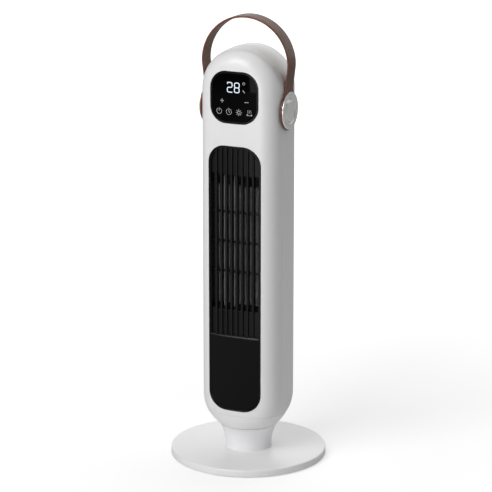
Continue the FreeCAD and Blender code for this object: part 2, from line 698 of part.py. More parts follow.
def build_display():
    """Round-cornered touch display: bezel, dark lens, board, digits, touch springs, receiver and buzzer."""
    rim = size("display_rim")
    keep("display_bezel", solid(skin(0.3, -6.0).common(display_window(0.0)).cut(display_window(rim))))
    keep("display_lens", solid(skin(-0.7, -3.2).common(display_window(rim + 0.1))))
    middle = "(display_low + display_high) / 2"
    low = f"{middle} - board_height / 2"
    keep("display_board", block("board_width", "board_thick", "board_height", 0, "board_y", low))
    face = "board_y - board_thick / 2"
    keep("digit_module", block("digits_width", "digits_depth", "digits_height", "digits_x",
                               f"{face} - digits_depth / 2 - gap", "digits_low"))
    case = block(7, 3, 8, "receiver_x", f"{face} - 1.6", "receiver_low")
    eye = cylinder(2.5, 1.4, "receiver_x", f"{face} - 4.2", "receiver_low + 4", "Y")
    keep("ir_receiver", fuse(case, eye))
    springs = []
    for x in (-19.5, -6.5, 6.5, 19.5):
        coil = coils(2.4, 0.3, 0.0, 5.6, 4)
        coil.rotate(Vector(0, 0, 0), Vector(1, 0, 0), 90)
        coil.translate(Vector(x, size("board_y") - size("board_thick") / 2 - 0.1, size("touch_z")))
        springs.append(coil)
    keep("touch_springs", solid(Part.makeCompound(springs)))
    keep("buzzer", cylinder(6, 7, "buzzer_x", "board_y + board_thick / 2 + gap", "buzzer_z", "Y"))


# ---------------------------------------------------------------- inside the column


def build_shelves():
    """The two cross walls that hold the blower and the heater."""
    depth = "shelf_back - shelf_front"
    middle = "(shelf_back + shelf_front) / 2"
    lower = block("shelf_half * 2", depth, "shelf_thick", 0, middle, "shelf_low")
    lead_hole = cylinder(6, 10, 30, -28, "shelf_low - 2")
    keep("lower_shelf", cut(lower, cylinder(9, 10, 0, "fan_y", "shelf_low - 2"), lead_hole))
    upper = block("shelf_half * 2", depth, "shelf_thick", 0, middle, "shelf_high")
    lead_hole = cylinder(6, 10, 30, -28, "shelf_high - 2")
    keep("upper_shelf", cut(upper, cylinder("8 + gap", 10, 0, "fan_y", "shelf_high - 2"), lead_hole))


def duct_walls(low, high):
    """The curved back wall and the tongue that lead the air from the wheel to the heater."""
    centre = Vector(0, size("fan_y"), low)
    inner, outer = size("fan_radius") + 3.0, size("fan_radius") + 5.0
    ring = Part.makeCylinder(outer, high - low, centre).cut(Part.makeCylinder(inner, high - low, centre))
    back = ring.common(slab(-40, -6, size("fan_y") - 8, size("fan_y") + 40, low, high))
    front = size("heater_front") + size("heater_depth") + 0.3

    def wall(x0, y0, x1, y1):
        """A two millimetre wall between two points of the plan."""
        way = Vector(x1 - x0, y1 - y0, 0).normalize()
        side = Vector(-way.y, way.x, 0)
        start, end = Vector(x0, y0, low), Vector(x1, y1, low)
        corners = [start - side, end - side, end + side, start + side, start - side]
        return Part.Face(Part.makePolygon(corners)).extrude(Vector(0, 0, high - low))

    left = wall(-(inner + 0.7), size("fan_y") - 7, -41.0, front + 1)
    right = wall(23.5, size("fan_y") - 6, 41.0, front + 1)
    return back, left, right


def build_blower():
    """Cross-flow blower: housing, wheel, shaft, motor and top bearing, all on one upright line."""
    low, high = size("shelf_low") + size("shelf_thick") + 0.1, size("shelf_high") - 0.1
    walls = duct_walls(low, high)
    front = size("heater_front") + size("heater_depth") + 0.4
    ends = []
    for z in (low, high - 2.0):
        end = slab(-42.0, 42.0, front, size("shelf_back") - 1, z, z + 2.0)
        ends.append(end.cut(Part.makeCylinder(9.0, 4, Vector(0, size("fan_y"), z - 1))))
    keep("blower_housing", solid(ends[0].fuse([ends[1], *walls])))

    wheel = new_body()
    disc = new_sketch(wheel, "XY_Plane", "fan_low")
    circle(disc, 0, 0, "fan_radius")
    circle(disc, 0, 0, "shaft_radius + 0.02")
    pad(wheel, disc, 1.6)
    blade = new_sketch(wheel, "XY_Plane", "fan_low")
    outline(blade, [
        ("fan_radius - 5", -0.3), ("fan_radius - 0.6", 1.9), ("fan_radius - 0.9", 2.6),
        ("fan_radius - 5.3", 0.4),
    ])
    vane = pad(wheel, blade, "fan_high - fan_low")
    repeat(wheel, vane, "blade_count")
    for step in (1, 2, 3):
        plate = new_sketch(wheel, "XY_Plane", f"fan_low + {step} * (fan_high - fan_low - 1.6) / 3")
        circle(plate, 0, 0, "fan_radius")
        circle(plate, 0, 0, "shaft_radius + 0.02")
        wheel.Tip = pad(wheel, plate, 1.6)
    keep("impeller", place(wheel, 0, "fan_y", 0))
    keep("impeller_shaft", cylinder("shaft_radius", "shaft_high - shaft_low", 0, "fan_y", "shaft_low"))

    keep("blower_motor", turned([
        (0, "motor_low"), ("motor_radius - 3", "motor_low"), ("motor_radius", "motor_low + 3"),
        ("motor_radius", "motor_high - 8"), ("motor_radius - 4", "motor_high - 4"), (8, "motor_high - 4"),
        (8, "motor_high"), ("shaft_radius + running", "motor_high"),
        ("shaft_radius + running", "shaft_low - 1"), (0, "shaft_low - 1"),
    ], 0, "fan_y"))
    bracket = block(66, 34, 3, 0, "fan_y", "shelf_low - 3.1")
    legs = [block(3, 20, 20, x, "fan_y", "shelf_low - 23")
            for x in ("motor_radius + 2.6", "-motor_radius - 2.6")]
    keep("motor_mount", cut(fuse(bracket, *legs), cylinder(8.1, 8, 0, "fan_y", "shelf_low - 6")))
    keep("top_bearing", tube(8, "shaft_radius + running", 6, 0, "fan_y", "shelf_high - 3.5"))


def fin_column(x0, x1, low, high, front):
    """A ladder of thin aluminium fins between two upright strips, open from front to back."""
    depth, pitch, thick = size("heater_depth") - 2.0, size("fin_pitch"), size("fin_thick")
    column = slab(x0, x1, front, front + depth, low, high)
    count = int((high - low) / pitch)
    cells = [slab(x0 + thick, x1 - thick, front - 1, front + depth + 1, z + thick, z + pitch)
             for z in (low + step * pitch for step in range(count))]
    return column.cut(cells)


def build_heater():
    """Ceramic element: frame, upright ceramic bars, folded fins between them and the thermal cut-out."""
    front, depth, half = size("heater_front"), size("heater_depth"), size("heater_half")
    low, high, rail = size("heater_low"), size("heater_high"), size("heater_rail")
    frame = slab(-half, half, front, front + depth, low, high)
    hole = slab(-half + rail, half - rail, front - 1, front + depth + 1, low + rail + 3, high - rail - 3)
    keep("heater_frame", solid(frame.cut(hole)))
    columns, width = int(size("fin_columns")), size("bar_width")
    inside = 2 * (half - rail)
    fin_width = (inside - (columns - 1) * width) / columns
    bars, fins = [], []
    bottom, top = low + rail + 3.2, high - rail - 3.2
    for index in range(columns):
        x0 = -inside / 2 + index * (fin_width + width)
        fins.append(fin_column(x0 + 0.1, x0 + fin_width - 0.1, bottom, top, front + 1))
        if index < columns - 1:
            x1 = x0 + fin_width
            bars.append(slab(x1, x1 + width, front + 1, front + depth - 1, bottom, top))
    keep("ptc_bars", solid(Part.makeCompound(bars)))
    keep("heater_fins", solid(Part.makeCompound(fins)))
    keep("thermal_cutout", turned([
        (0, 0), (8, 0), (8, 3), (6.5, 3), (6.5, 6), (0, 6),
    ], 0, "heater_front + heater_depth / 2", "heater_high + gap"))


def build_electronics():
    """Power board in the foot of the column, what stands on it, and the room air sensor."""
    keep("control_board", block("power_side", "board_thick", "power_side", 0, "power_y", "power_low"))
    face = "power_y - board_thick / 2"
    keep("relays", group([block("relay_side", "relay_side", "relay_height", x,
                                f"{face} - relay_side / 2 - gap", "relay_low") for x in (-26, -8, 10)]))
    keep("mains_capacitor", block("capacitor_width", "capacitor_depth", "capacitor_height", "capacitor_x",
                                  f"{face} - capacitor_depth / 2 - gap", "capacitor_low"))
    bead = cylinder(1.8, 6, "sensor_x", "sensor_y", "sensor_low + 13")
    keep("room_sensor", fuse(block(9, 3, 14, "sensor_x", "sensor_y", "sensor_low"), bead))


def build_intake():
    """Pull-off louvred cover over the rear intake, with the dust filter behind it."""
    width = size("intake_width")
    cover = skin(0.0, -4.5).common(intake_window(0.0))
    low, high = size("intake_low") + 8.0, size("intake_high") - 8.0
    pitch, slot = size("louvre_pitch"), size("louvre_slot")
    count = int((high - low) / pitch)
    slots = []
    for index in range(count):
        z = low + index * pitch + 2
        for x0, x1 in ((-width / 2 + 6, -2.0), (2.0, width / 2 - 6)):
            slots.append(slab(x0, x1, 30, 80, z, z + slot))
    keep("filter_cover", solid(cover.cut(slots)))
    half, low, high = width / 2 - 7, size("intake_low") + 7, size("intake_high") - 7
    keep("dust_filter", solid(slab(-half, half, 43.2, 45.6, low, high)))


# ---------------------------------------------------------------- handle


def strap_band(inside, outside):
    """A layer of the strap seen from the front: upright legs, a lean outwards and a half-round bow."""
    pivot, centre, disc = size("pivot_z"), size("bow_centre"), size("disc_radius")
    start, bow = size("strap_inside"), size("bow_inside")
    lean = pivot + disc + 4.0

    def side(offset):
        """The right-hand leg's line at one offset through the thickness, from the bottom up."""
        return [Vector(start + offset, 0, pivot - disc), Vector(start + offset, 0, lean),
                Vector(bow + offset, 0, centre)]

    def path(offset):
        leg = side(offset)
        mirrored = [Vector(-point.x, 0, point.z) for point in reversed(leg)]
        arc = Part.Arc(leg[-1], Vector(0, 0, centre + bow + offset), mirrored[0]).toShape()
        return leg, arc, mirrored

    leg, arc, mirrored = path(inside)
    outer_leg, outer_arc, outer_mirrored = path(outside)
    edges = [Part.makeLine(leg[0], leg[1]), Part.makeLine(leg[1], leg[2]), arc,
             Part.makeLine(mirrored[0], mirrored[1]), Part.makeLine(mirrored[1], mirrored[2]),
             Part.makeLine(mirrored[2], outer_mirrored[2]),
             Part.makeLine(outer_mirrored[2], outer_mirrored[1]),
             Part.makeLine(outer_mirrored[1], outer_mirrored[0]), outer_arc,
             Part.makeLine(outer_leg[2], outer_leg[1]), Part.makeLine(outer_leg[1], outer_leg[0]),
             Part.makeLine(outer_leg[0], leg[0])]
    wire = Part.Wire(Part.__sortEdges__(edges))
    band = Part.Face(wire).extrude(Vector(0, 100, 0))
    band.translate(Vector(0, -50, 0))
    return band


def strap_side(inset=0.0):
    """The strap seen from the side: a round end that narrows with two fillets to the strap's width."""
    pivot, disc, half = size("pivot_z"), size("disc_radius") - inset, size("strap_width") / 2 - inset
    flare = size("strap_flare")
    rise = math.sqrt((disc + flare) ** 2 - (half + flare) ** 2)
    touch = disc / (disc + flare)
    tangent = Vector(-80, (half + flare) * touch, pivot + rise * touch)
    turn = Vector(-80, half, pivot + rise)
    centre = Vector(-80, half + flare, pivot + rise)
    middle = centre + ((tangent + turn) / 2 - centre).normalize() * flare
    top = pivot + 160.0

    def other(point):
        return Vector(point.x, -point.y, point.z)

    edges = [
        Part.Arc(tangent, Vector(-80, 0, pivot - disc), other(tangent)).toShape(),
        Part.Arc(other(tangent), other(middle), other(turn)).toShape(),
        Part.makeLine(other(turn), Vector(-80, -half, top)),
        Part.makeLine(Vector(-80, -half, top), Vector(-80, half, top)),
        Part.makeLine(Vector(-80, half, top), turn),
        Part.Arc(turn, middle, tangent).toShape(),
    ]
    return Part.Face(Part.Wire(Part.__sortEdges__(edges))).extrude(Vector(160, 0, 0))


def pivot_cap(start, height):
    """A flat cap with a sunk ring, and in it a round boss whose face is a low roof with an upright ridge."""
    pivot, boss, ring = size("pivot_z"), size("boss_radius"), size("ring_radius")
    along = Vector(1, 0, 0)
    disc = Part.makeCylinder(size("cap_radius"), height, Vector(start, 0, pivot), along)
    sunk = Part.makeCylinder(ring, height, Vector(start + height - size("ring_sunk"), 0, pivot), along)
    root, ridge = start + height - size("ring_sunk"), start + height + size("ridge_height")
    roof = [Vector(root, -boss, 0), Vector(root + 0.9, -boss, 0), Vector(ridge, 0, 0),
            Vector(root + 0.9, boss, 0), Vector(root, boss, 0), Vector(root, -boss, 0)]
    wedge = Part.Face(Part.makePolygon(roof)).extrude(Vector(0, 0, 2 * boss))
    wedge.translate(Vector(0, 0, pivot - boss))
    rounded = Part.makeCylinder(boss, 6, Vector(root - 0.2, 0, pivot), along)
    return disc.cut(sunk).fuse(wedge.common(rounded))


def build_handle():
    """Strap of two leather skins on a stiff core, its round ends on studs, with a cap over each."""
    thick, face, pivot = size("strap_thick"), size("skin_thick"), size("pivot_z")
    line = Vector(-AROUND, 0, pivot)
    bore = Part.makeCylinder(size("stud_radius") + size("running"), 2 * AROUND, line, Vector(1, 0, 0))
    layers = {"strap_inner_skin": (0.0, face), "strap_core": (face, thick - face),
              "strap_outer_skin": (thick - face, thick)}
    for label, (inside, outside) in layers.items():
        inset = 0.5 if label == "strap_core" else 0.0
        keep(label, solid(strap_band(inside, outside).common(strap_side(inset)).cut(bore)))

    outer_face = "strap_inside + strap_thick"
    start, height = size("strap_inside") + thick + 0.02, size("pivot_cap")
    for label, side in (("pivot_cap_right", 1), ("pivot_cap_left", -1)):
        cap = pivot_cap(start, height)
        keep(label, solid(cap if side > 0 else cap.mirror(Vector(), Vector(1, 0, 0))))

    studs = []
    for side in (-1, 1):
        start = "half_width - shell_wall - 4" if side > 0 else "-(half_width - shell_wall - 4) - 2.4"
        flange = cylinder(11, 2.4, start, 0, "pivot_z", "X")
        reach = f"{outer_face} - 0.1 - (half_width - shell_wall - 4)"
        start = "half_width - shell_wall - 4" if side > 0 else f"-({outer_face} - 0.1)"
        studs.append(fuse(flange, cylinder("stud_radius", reach, start, 0, "pivot_z", "X")))
    keep("pivot_studs", group(studs))
    washers = [tube(12, "stud_radius + 0.1", 0.5, start, 0, "pivot_z", "X")
               for start in ("half_width + gap", "-(half_width + gap) - 0.5")]
    keep("pivot_washers", group(washers))


# ---------------------------------------------------------------- the whole heater


def check_document():
    """Stops if any object failed or any sub-part is not a sound shape."""
    doc.recompute()
    for item in doc.Objects:
        if "Invalid" in item.State or "Error" in item.State:
            raise RuntimeError(f"{item.Label} failed: {item.State}")
    for piece in NODES:
        if piece.Shape.isNull() or not piece.Shape.isValid() or not piece.Shape.Solids:
            raise RuntimeError(f"{piece.Label} is not a sound solid")


def write_parts():
    """One STEP file for each sub-part."""
    os.makedirs("parts", exist_ok=True)
    for piece in NODES:
        piece.Shape.exportStep(f"parts/{piece.Label}.step")


build_base()
build_tip_switch()
build_neck()
build_swing_drive()
build_shells()
build_insert()
build_display()
build_shelves()
build_blower()
build_heater()
build_electronics()
build_intake()
build_handle()
check_document()
write_parts()
for piece in NODES:
    print(piece.Label, len(piece.Shape.Solids), round(piece.Shape.Volume, 1))
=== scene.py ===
"""The tower heater as it looks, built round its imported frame, with its studio."""
import logging
import math
from dataclasses import dataclass
from enum import Enum
from typing import Callable, Iterable, Sequence

import bpy
import bmesh
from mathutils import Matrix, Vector


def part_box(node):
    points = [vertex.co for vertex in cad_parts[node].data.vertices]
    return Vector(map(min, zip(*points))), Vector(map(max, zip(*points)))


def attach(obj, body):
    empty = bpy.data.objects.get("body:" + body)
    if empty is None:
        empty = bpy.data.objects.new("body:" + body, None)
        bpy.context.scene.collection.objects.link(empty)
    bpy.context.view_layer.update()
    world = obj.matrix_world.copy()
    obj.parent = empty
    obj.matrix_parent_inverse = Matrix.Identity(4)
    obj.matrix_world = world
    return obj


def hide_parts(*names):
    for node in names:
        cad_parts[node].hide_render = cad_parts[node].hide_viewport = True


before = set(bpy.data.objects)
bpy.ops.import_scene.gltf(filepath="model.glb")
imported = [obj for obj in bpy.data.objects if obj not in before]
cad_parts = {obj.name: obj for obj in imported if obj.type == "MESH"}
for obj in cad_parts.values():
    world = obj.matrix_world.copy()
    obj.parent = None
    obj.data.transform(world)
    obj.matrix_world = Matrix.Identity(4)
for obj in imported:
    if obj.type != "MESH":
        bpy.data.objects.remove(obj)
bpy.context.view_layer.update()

MM = 0.001
LOG = logging.getLogger("tower_heater")

Point = tuple[float, float]
Loop = list[Vector]
Colour = tuple[float, float, float]


class Body(Enum):
    """The moving bodies of the frame that visible pieces ride on."""

    BASE = "base"
    PLUNGER = "tip_plunger"
    HEAD = "head"
    PINION = "swing_pinion"
    IMPELLER = "impeller"
    FILTER = "filter_cover"
    HANDLE = "handle"


class Half(Enum):
    """The two shells of the column: the sign of the side of the section where each one's middle lies."""

    FRONT = -1
    REAR = 1


# ------------------------------------------------------------------------------------------- materials


class Shader:
    """A material's node tree, with short calls for the nodes that the finishes share."""

    def __init__(self, name: str) -> None:
        """Makes an empty material with its principled shader.

        Args:
            name: The material's name.
        """
        self.material = bpy.data.materials.new(name)
        self.material.use_nodes = True
        self.nodes = self.material.node_tree.nodes
        self.links = self.material.node_tree.links
        self.surface = self.nodes["Principled BSDF"]
        self.coords = self.nodes.new("ShaderNodeTexCoord").outputs["Object"]

    def put(self, socket: str, value: object) -> None:
        """Sets one of the surface's own sockets."""
        self.surface.inputs[socket].default_value = value

    def link(self, source: bpy.types.NodeSocket, socket: str) -> None:
        """Links a texture to one of the surface's sockets."""
        self.links.new(source, self.surface.inputs[socket])

    def stretched(self, scale: Sequence[float]) -> bpy.types.NodeSocket:
        """Object coordinates with each axis scaled on its own.

        Args:
            scale: The factors along X, Y and Z.

        Returns:
            The vector output.
        """
        node = self.nodes.new("ShaderNodeMapping")
        node.inputs["Scale"].default_value = scale
        self.links.new(self.coords, node.inputs["Vector"])
        return node.outputs["Vector"]

    def noise(self, scale: float, detail: float = 2.0, vector: bpy.types.NodeSocket | None = None,
              ) -> bpy.types.NodeSocket:
        """Cloud noise.

        Args:
            scale: Cells for each metre.
            detail: Octaves.
            vector: Where it is read, object coordinates by default.

        Returns:
            The noise's factor, about 0.5 on average.
        """
        node = self.nodes.new("ShaderNodeTexNoise")
        node.inputs["Scale"].default_value = scale
        node.inputs["Detail"].default_value = detail
        self.links.new(vector or self.coords, node.inputs["Vector"])
        return node.outputs["Fac"]

    def cells(self, scale: float, feature: str, vector: bpy.types.NodeSocket | None = None,
              ) -> bpy.types.NodeSocket:
        """Distance in a field of cells, to the nearest middle (F1) or to the nearest border.

        Args:
            scale: Cells for each metre.
            feature: Which distance.
            vector: Where it is read, object coordinates by default.

        Returns:
            The distance.
        """
        node = self.nodes.new("ShaderNodeTexVoronoi")
        node.feature = feature
        node.inputs["Scale"].default_value = scale
        self.links.new(vector or self.coords, node.inputs["Vector"])
        return node.outputs["Distance"]

    def spread(self, source: bpy.types.NodeSocket, low: float, high: float, start: float = 0.3,
               end: float = 0.7) -> bpy.types.NodeSocket:
        """Maps the source's start..end to low..high, held at both ends.

        Args:
            source: What is mapped.
            low: The result at the start.
            high: The result at the end.
            start: Where the mapped range starts.
            end: Where it ends.

        Returns:
            The mapped value.
        """
        node = self.nodes.new("ShaderNodeMapRange")
        for socket, value in (("From Min", start), ("From Max", end), ("To Min", low), ("To Max", high)):
            node.inputs[socket].default_value = value
        self.links.new(source, node.inputs["Value"])
        return node.outputs["Result"]

    def mix(self, factor: bpy.types.NodeSocket, first: Colour, second: Colour) -> bpy.types.NodeSocket:
        """Colour between two, by a factor.

        Args:
            factor: The share of the second colour.
            first: The colour at zero.
            second: The colour at one.

        Returns:
            The mixed colour.
        """
        node = self.nodes.new("ShaderNodeMix")
        node.data_type = "RGBA"
        node.inputs["A"].default_value = (*first, 1.0)
        node.inputs["B"].default_value = (*second, 1.0)
        self.links.new(factor, node.inputs["Factor"])
        return node.outputs["Result"]

    def bump(self, height: bpy.types.NodeSocket, strength: float, distance: float,
             under: bpy.types.NodeSocket | None = None) -> bpy.types.NodeSocket:
        """A bump from a height, in metres of distance, on top of another one where given.

        Args:
            height: The height.
            strength: How much of the bump shows.
            distance: How far a height of one stands out.
            under: The normal beneath.

        Returns:
            The bumped normal.
        """
        node = self.nodes.new("ShaderNodeBump")
        node.inputs["Strength"].default_value = strength
        node.inputs["Distance"].default_value = distance
        self.links.new(height, node.inputs["Height"])
        if under is not None:
            self.links.new(under, node.inputs["Normal"])
        return node.outputs["Normal"]


@dataclass(frozen=True)
class MouldedPlastic:
    """Injection-moulded plastic: faint flow shading, fine orange peel and uneven gloss."""

    name: str
    colour: Colour
    roughness: float = 0.3
    peel: float = 0.25
    peel_scale: float = 900.0
    coat: float = 0.0
    tint: float = 0.02
    shine: float = 0.5
    metal: float = 0.0

    def build(self) -> bpy.types.Material:
        """Builds the material.

        Returns:
            The material.
        """
        shader = Shader(self.name)
        darker = tuple(channel * (1.0 - self.tint) for channel in self.colour)
        flow = shader.noise(14.0, 3.0)
        shader.link(shader.mix(shader.spread(flow, 0.0, 1.0), self.colour, darker), "Base Color")
        smear = shader.noise(45.0, 4.0)
        shader.link(shader.spread(smear, self.roughness * 0.88, self.roughness * 1.12), "Roughness")
        peel = shader.noise(self.peel_scale, 2.0)
        shader.link(shader.bump(peel, self.peel, 0.05 * MM), "Normal")
        shader.put("Specular IOR Level", self.shine)
        shader.put("Metallic", self.metal)
        shader.put("Coat Weight", self.coat)
        shader.put("Coat Roughness", 0.08)
        return shader.material


@dataclass(frozen=True)
class GlossPanel:
    """Deep black polished panel with faint wipe marks and a few specks of dust."""

    name: str
    colour: Colour
    roughness: float = 0.07
    mirror: float = 0.3

    def build(self) -> bpy.types.Material:
        """Builds the material.

        Returns:
            The material.
        """
        shader = Shader(self.name)
        wipe = shader.noise(60.0, 5.0, shader.stretched((1.0, 1.0, 0.25)))
        shader.link(shader.spread(wipe, self.roughness, self.roughness * 2.2, 0.45, 0.8), "Roughness")
        dust = shader.cells(420.0, "F1")
        pale = tuple(channel + 0.025 for channel in self.colour)
        shader.link(shader.mix(shader.spread(dust, 1.0, 0.0, 0.0, 0.09), self.colour, pale), "Base Color")
        waves = shader.noise(30.0, 1.0)
        shader.link(shader.bump(waves, 0.12, 0.2 * MM), "Normal")
        shader.put("Specular IOR Level", self.mirror)
        return shader.material


@dataclass(frozen=True)
class GrainedLeather:
    """Smooth coated leather: pebbled grain, pores, and a slow change of shade along the hide."""

    name: str
    colour: Colour
    shade: Colour
    grain: float = 950.0

    def build(self) -> bpy.types.Material:
        """Builds the material.

        Returns:
            The material.
        """
        shader = Shader(self.name)
        slow = shader.noise(28.0, 3.0)
        shader.link(shader.mix(shader.spread(slow, 0.0, 1.0), self.colour, self.shade), "Base Color")
        wander = shader.noise(300.0, 2.0)
        pebble = shader.cells(self.grain, "DISTANCE_TO_EDGE")
        pores = shader.cells(self.grain * 2.6, "F1")
        base = shader.bump(shader.spread(pebble, 0.0, 1.0, 0.0, 0.35), 0.55, 0.12 * MM)
        base = shader.bump(shader.spread(pores, 0.0, 1.0, 0.0, 0.3), 0.25, 0.05 * MM, base)
        shader.link(shader.bump(wander, 0.2, 0.15 * MM, base), "Normal")
        shader.link(shader.spread(pebble, 0.46, 0.3, 0.0, 0.3), "Roughness")
        shader.put("Specular IOR Level", 0.28)
        return shader.material


@dataclass(frozen=True)
class EdgePaint:
    """Burnished, painted leather edge: glossy reddish brown with soft streaks of the layers beneath."""

    name: str
    colour: Colour
    shade: Colour

    def build(self) -> bpy.types.Material:
        """Builds the material.

        Returns:
            The material.
        """
        shader = Shader(self.name)
        streak = shader.noise(420.0, 3.0, shader.stretched((1.0, 1.0, 0.12)))
        shader.link(shader.mix(shader.spread(streak, 0.0, 1.0), self.colour, self.shade), "Base Color")
        lumps = shader.noise(240.0, 2.0)
        shader.link(shader.bump(lumps, 0.3, 0.12 * MM), "Normal")
        shader.link(shader.spread(lumps, 0.29, 0.42), "Roughness")
        shader.put("Coat Weight", 0.35)
        shader.put("Coat Roughness", 0.2)
        return shader.material


@dataclass(frozen=True)
class WorkedMetal:
    """Bare or plated metal with a direction of rolling or turning."""

    name: str
    colour: Colour
    roughness: float = 0.3
    lines: Sequence[float] = (1.0, 1.0, 18.0)
    line_scale: float = 160.0
    metal: float = 1.0

    def build(self) -> bpy.types.Material:
        """Builds the material.

        Returns:
            The material.
        """
        shader = Shader(self.name)
        rolled = shader.noise(self.line_scale, 3.0, shader.stretched(self.lines))
        shader.link(shader.spread(rolled, self.roughness * 0.75, self.roughness * 1.3), "Roughness")
        dull = tuple(channel * 0.82 for channel in self.colour)
        shader.link(shader.mix(shader.spread(rolled, 0.0, 1.0), self.colour, dull), "Base Color")
        shader.link(shader.bump(rolled, 0.15, 0.03 * MM), "Normal")
        shader.put("Metallic", self.metal)
        return shader.material


@dataclass(frozen=True)
class Glow:
    """A lit mark behind the display's lens, a little uneven as light guides are."""

    name: str
    colour: Colour
    strength: float

    def build(self) -> bpy.types.Material:
        """Builds the material.

        Returns:
            The material.
        """
        shader = Shader(self.name)
        spill = shader.noise(700.0, 1.0)
        tone = tuple(channel * 0.8 for channel in self.colour)
        shader.link(shader.mix(shader.spread(spill, 0.0, 1.0), self.colour, tone), "Emission Color")
        shader.put("Base Color", (*(channel * 0.3 for channel in self.colour), 1.0))
        shader.put("Emission Strength", self.strength)
        shader.put("Roughness", 0.3)
        return shader.material


@dataclass(frozen=True)
class WovenMesh:
    """Fine nylon mesh of the dust filter, as crossed threads, with painted shade in the gaps between them."""

    name: str
    colour: Colour
    pitch: float = 1.2 * MM

    def build(self) -> bpy.types.Material:
        """Builds the material.

        Returns:
            The material.
        """
        shader = Shader(self.name)
        # Painted shade: the gaps between the threads get a colour a quarter as bright as the threads
        # themselves.
        dark = tuple(channel * 0.25 for channel in self.colour)
        heights = []
        for direction in ("X", "Z"):
            wave = shader.nodes.new("ShaderNodeTexWave")
            wave.bands_direction = direction
            wave.inputs["Scale"].default_value = 0.314 / self.pitch
            shader.links.new(shader.coords, wave.inputs["Vector"])
            heights.append(wave.outputs["Fac"])
        top = shader.nodes.new("ShaderNodeMath")
        top.operation = "MAXIMUM"
        for index, height in enumerate(heights):
            shader.links.new(height, top.inputs[index])
        thread = top.outputs["Value"]
        shader.link(shader.mix(thread, dark, self.colour), "Base Color")
        shader.link(shader.bump(thread, 0.8, 0.3 * MM), "Normal")
        shader.put("Roughness", 0.8)
        return shader.material


class Palette:
    """Every finish of the heater, each built once."""

    FINISHES = {
        "shell": MouldedPlastic("shell_white", (0.80, 0.80, 0.797), 0.335, 0.05, 260.0, 0.15, 0.012),
        "base": MouldedPlastic("base_white", (0.88, 0.88, 0.88), 0.35, 0.05, 260.0, 0.2, 0.012),
        "neck": MouldedPlastic("neck_white", (0.88, 0.88, 0.895), 0.36, 0.05, 260.0, 0.1, 0.012),
        "cap": MouldedPlastic("cap_white", (0.90, 0.91, 0.89), 0.2, 0.05, 500.0, 0.4, 0.012, 0.5, 0.5),
        "panel": GlossPanel("panel_black", (0.003, 0.003, 0.0035), 0.06, 0.13),
        "lens": GlossPanel("lens_black", (0.001, 0.001, 0.0013), 0.05, 0.04),
        "rim": MouldedPlastic("rim_black", (0.004, 0.004, 0.0045), 0.24, 0.08, 900.0, 0.0, 0.02, 0.22),
        "grille": MouldedPlastic("grille_black", (0.0055, 0.0055, 0.006), 0.36, 0.3, 1400.0, 0.0, 0.02, 0.18),
        "inner_black": MouldedPlastic("inner_black", (0.006, 0.006, 0.006), 0.6, 0.4, 1200.0),
        "heater_black": MouldedPlastic("heat_black", (0.010, 0.010, 0.010), 0.6, 0.4, 1200.0),
        "inner_grey": MouldedPlastic("inner_grey", (0.16, 0.165, 0.17), 0.5, 0.4, 1000.0),
        "acetal": MouldedPlastic("acetal_cream", (0.76, 0.74, 0.68), 0.35, 0.2, 700.0),
        "board": MouldedPlastic("board_green", (0.02, 0.12, 0.045), 0.3, 0.7, 500.0, 0.3, 0.35),
        "part_black": MouldedPlastic("part_black", (0.012, 0.012, 0.013), 0.42, 0.3, 1500.0),
        "relay": MouldedPlastic("relay_blue", (0.02, 0.07, 0.24), 0.36, 0.2, 900.0),
        "ceramic": MouldedPlastic("fired_ceramic", (0.30, 0.29, 0.27), 0.75, 0.6, 1600.0, 0.0, 0.12),
        "rubber": MouldedPlastic("foot_rubber", (0.02, 0.02, 0.021), 0.75, 0.6, 1300.0),
        "motor": MouldedPlastic("motor_enamel", (0.05, 0.05, 0.052), 0.32, 0.5, 600.0, 0.3),
        "leather": GrainedLeather("strap_leather", (0.160, 0.082, 0.050), (0.115, 0.056, 0.032)),
        "edge": EdgePaint("strap_edge", (0.20, 0.045, 0.018), (0.10, 0.022, 0.010)),
        "fin": WorkedMetal("fin_aluminium", (0.60, 0.60, 0.60), 0.4, metal=0.45),
        "trim": WorkedMetal("trim_plated", (0.08, 0.08, 0.083), 0.2, (1.0, 1.0, 1.0), 40.0),
        "steel": WorkedMetal("zinc_steel", (0.52, 0.53, 0.54), 0.38),
        "digit": Glow("digit_light", (0.80, 0.90, 1.0), 0.95),
        "icon": Glow("icon_light", (0.86, 0.87, 0.88), 0.33),
        "dim": Glow("dim_light", (0.80, 0.82, 0.85), 0.16),
        "mesh": WovenMesh("filter_nylon", (0.10, 0.10, 0.105)),
    }

    def __init__(self) -> None:
        """Starts with nothing built."""
        self.built: dict[str, bpy.types.Material] = {}

    def get(self, name: str) -> bpy.types.Material:
        """The material of a finish, built the first time it is asked for.

        Args:
            name: The finish, a key of FINISHES.

        Returns:
            The material.
        """
        if name not in self.built:
            self.built[name] = self.FINISHES[name].build()
        return self.built[name]


PALETTE = Palette()


# ------------------------------------------------------------------------------------------- mesh making


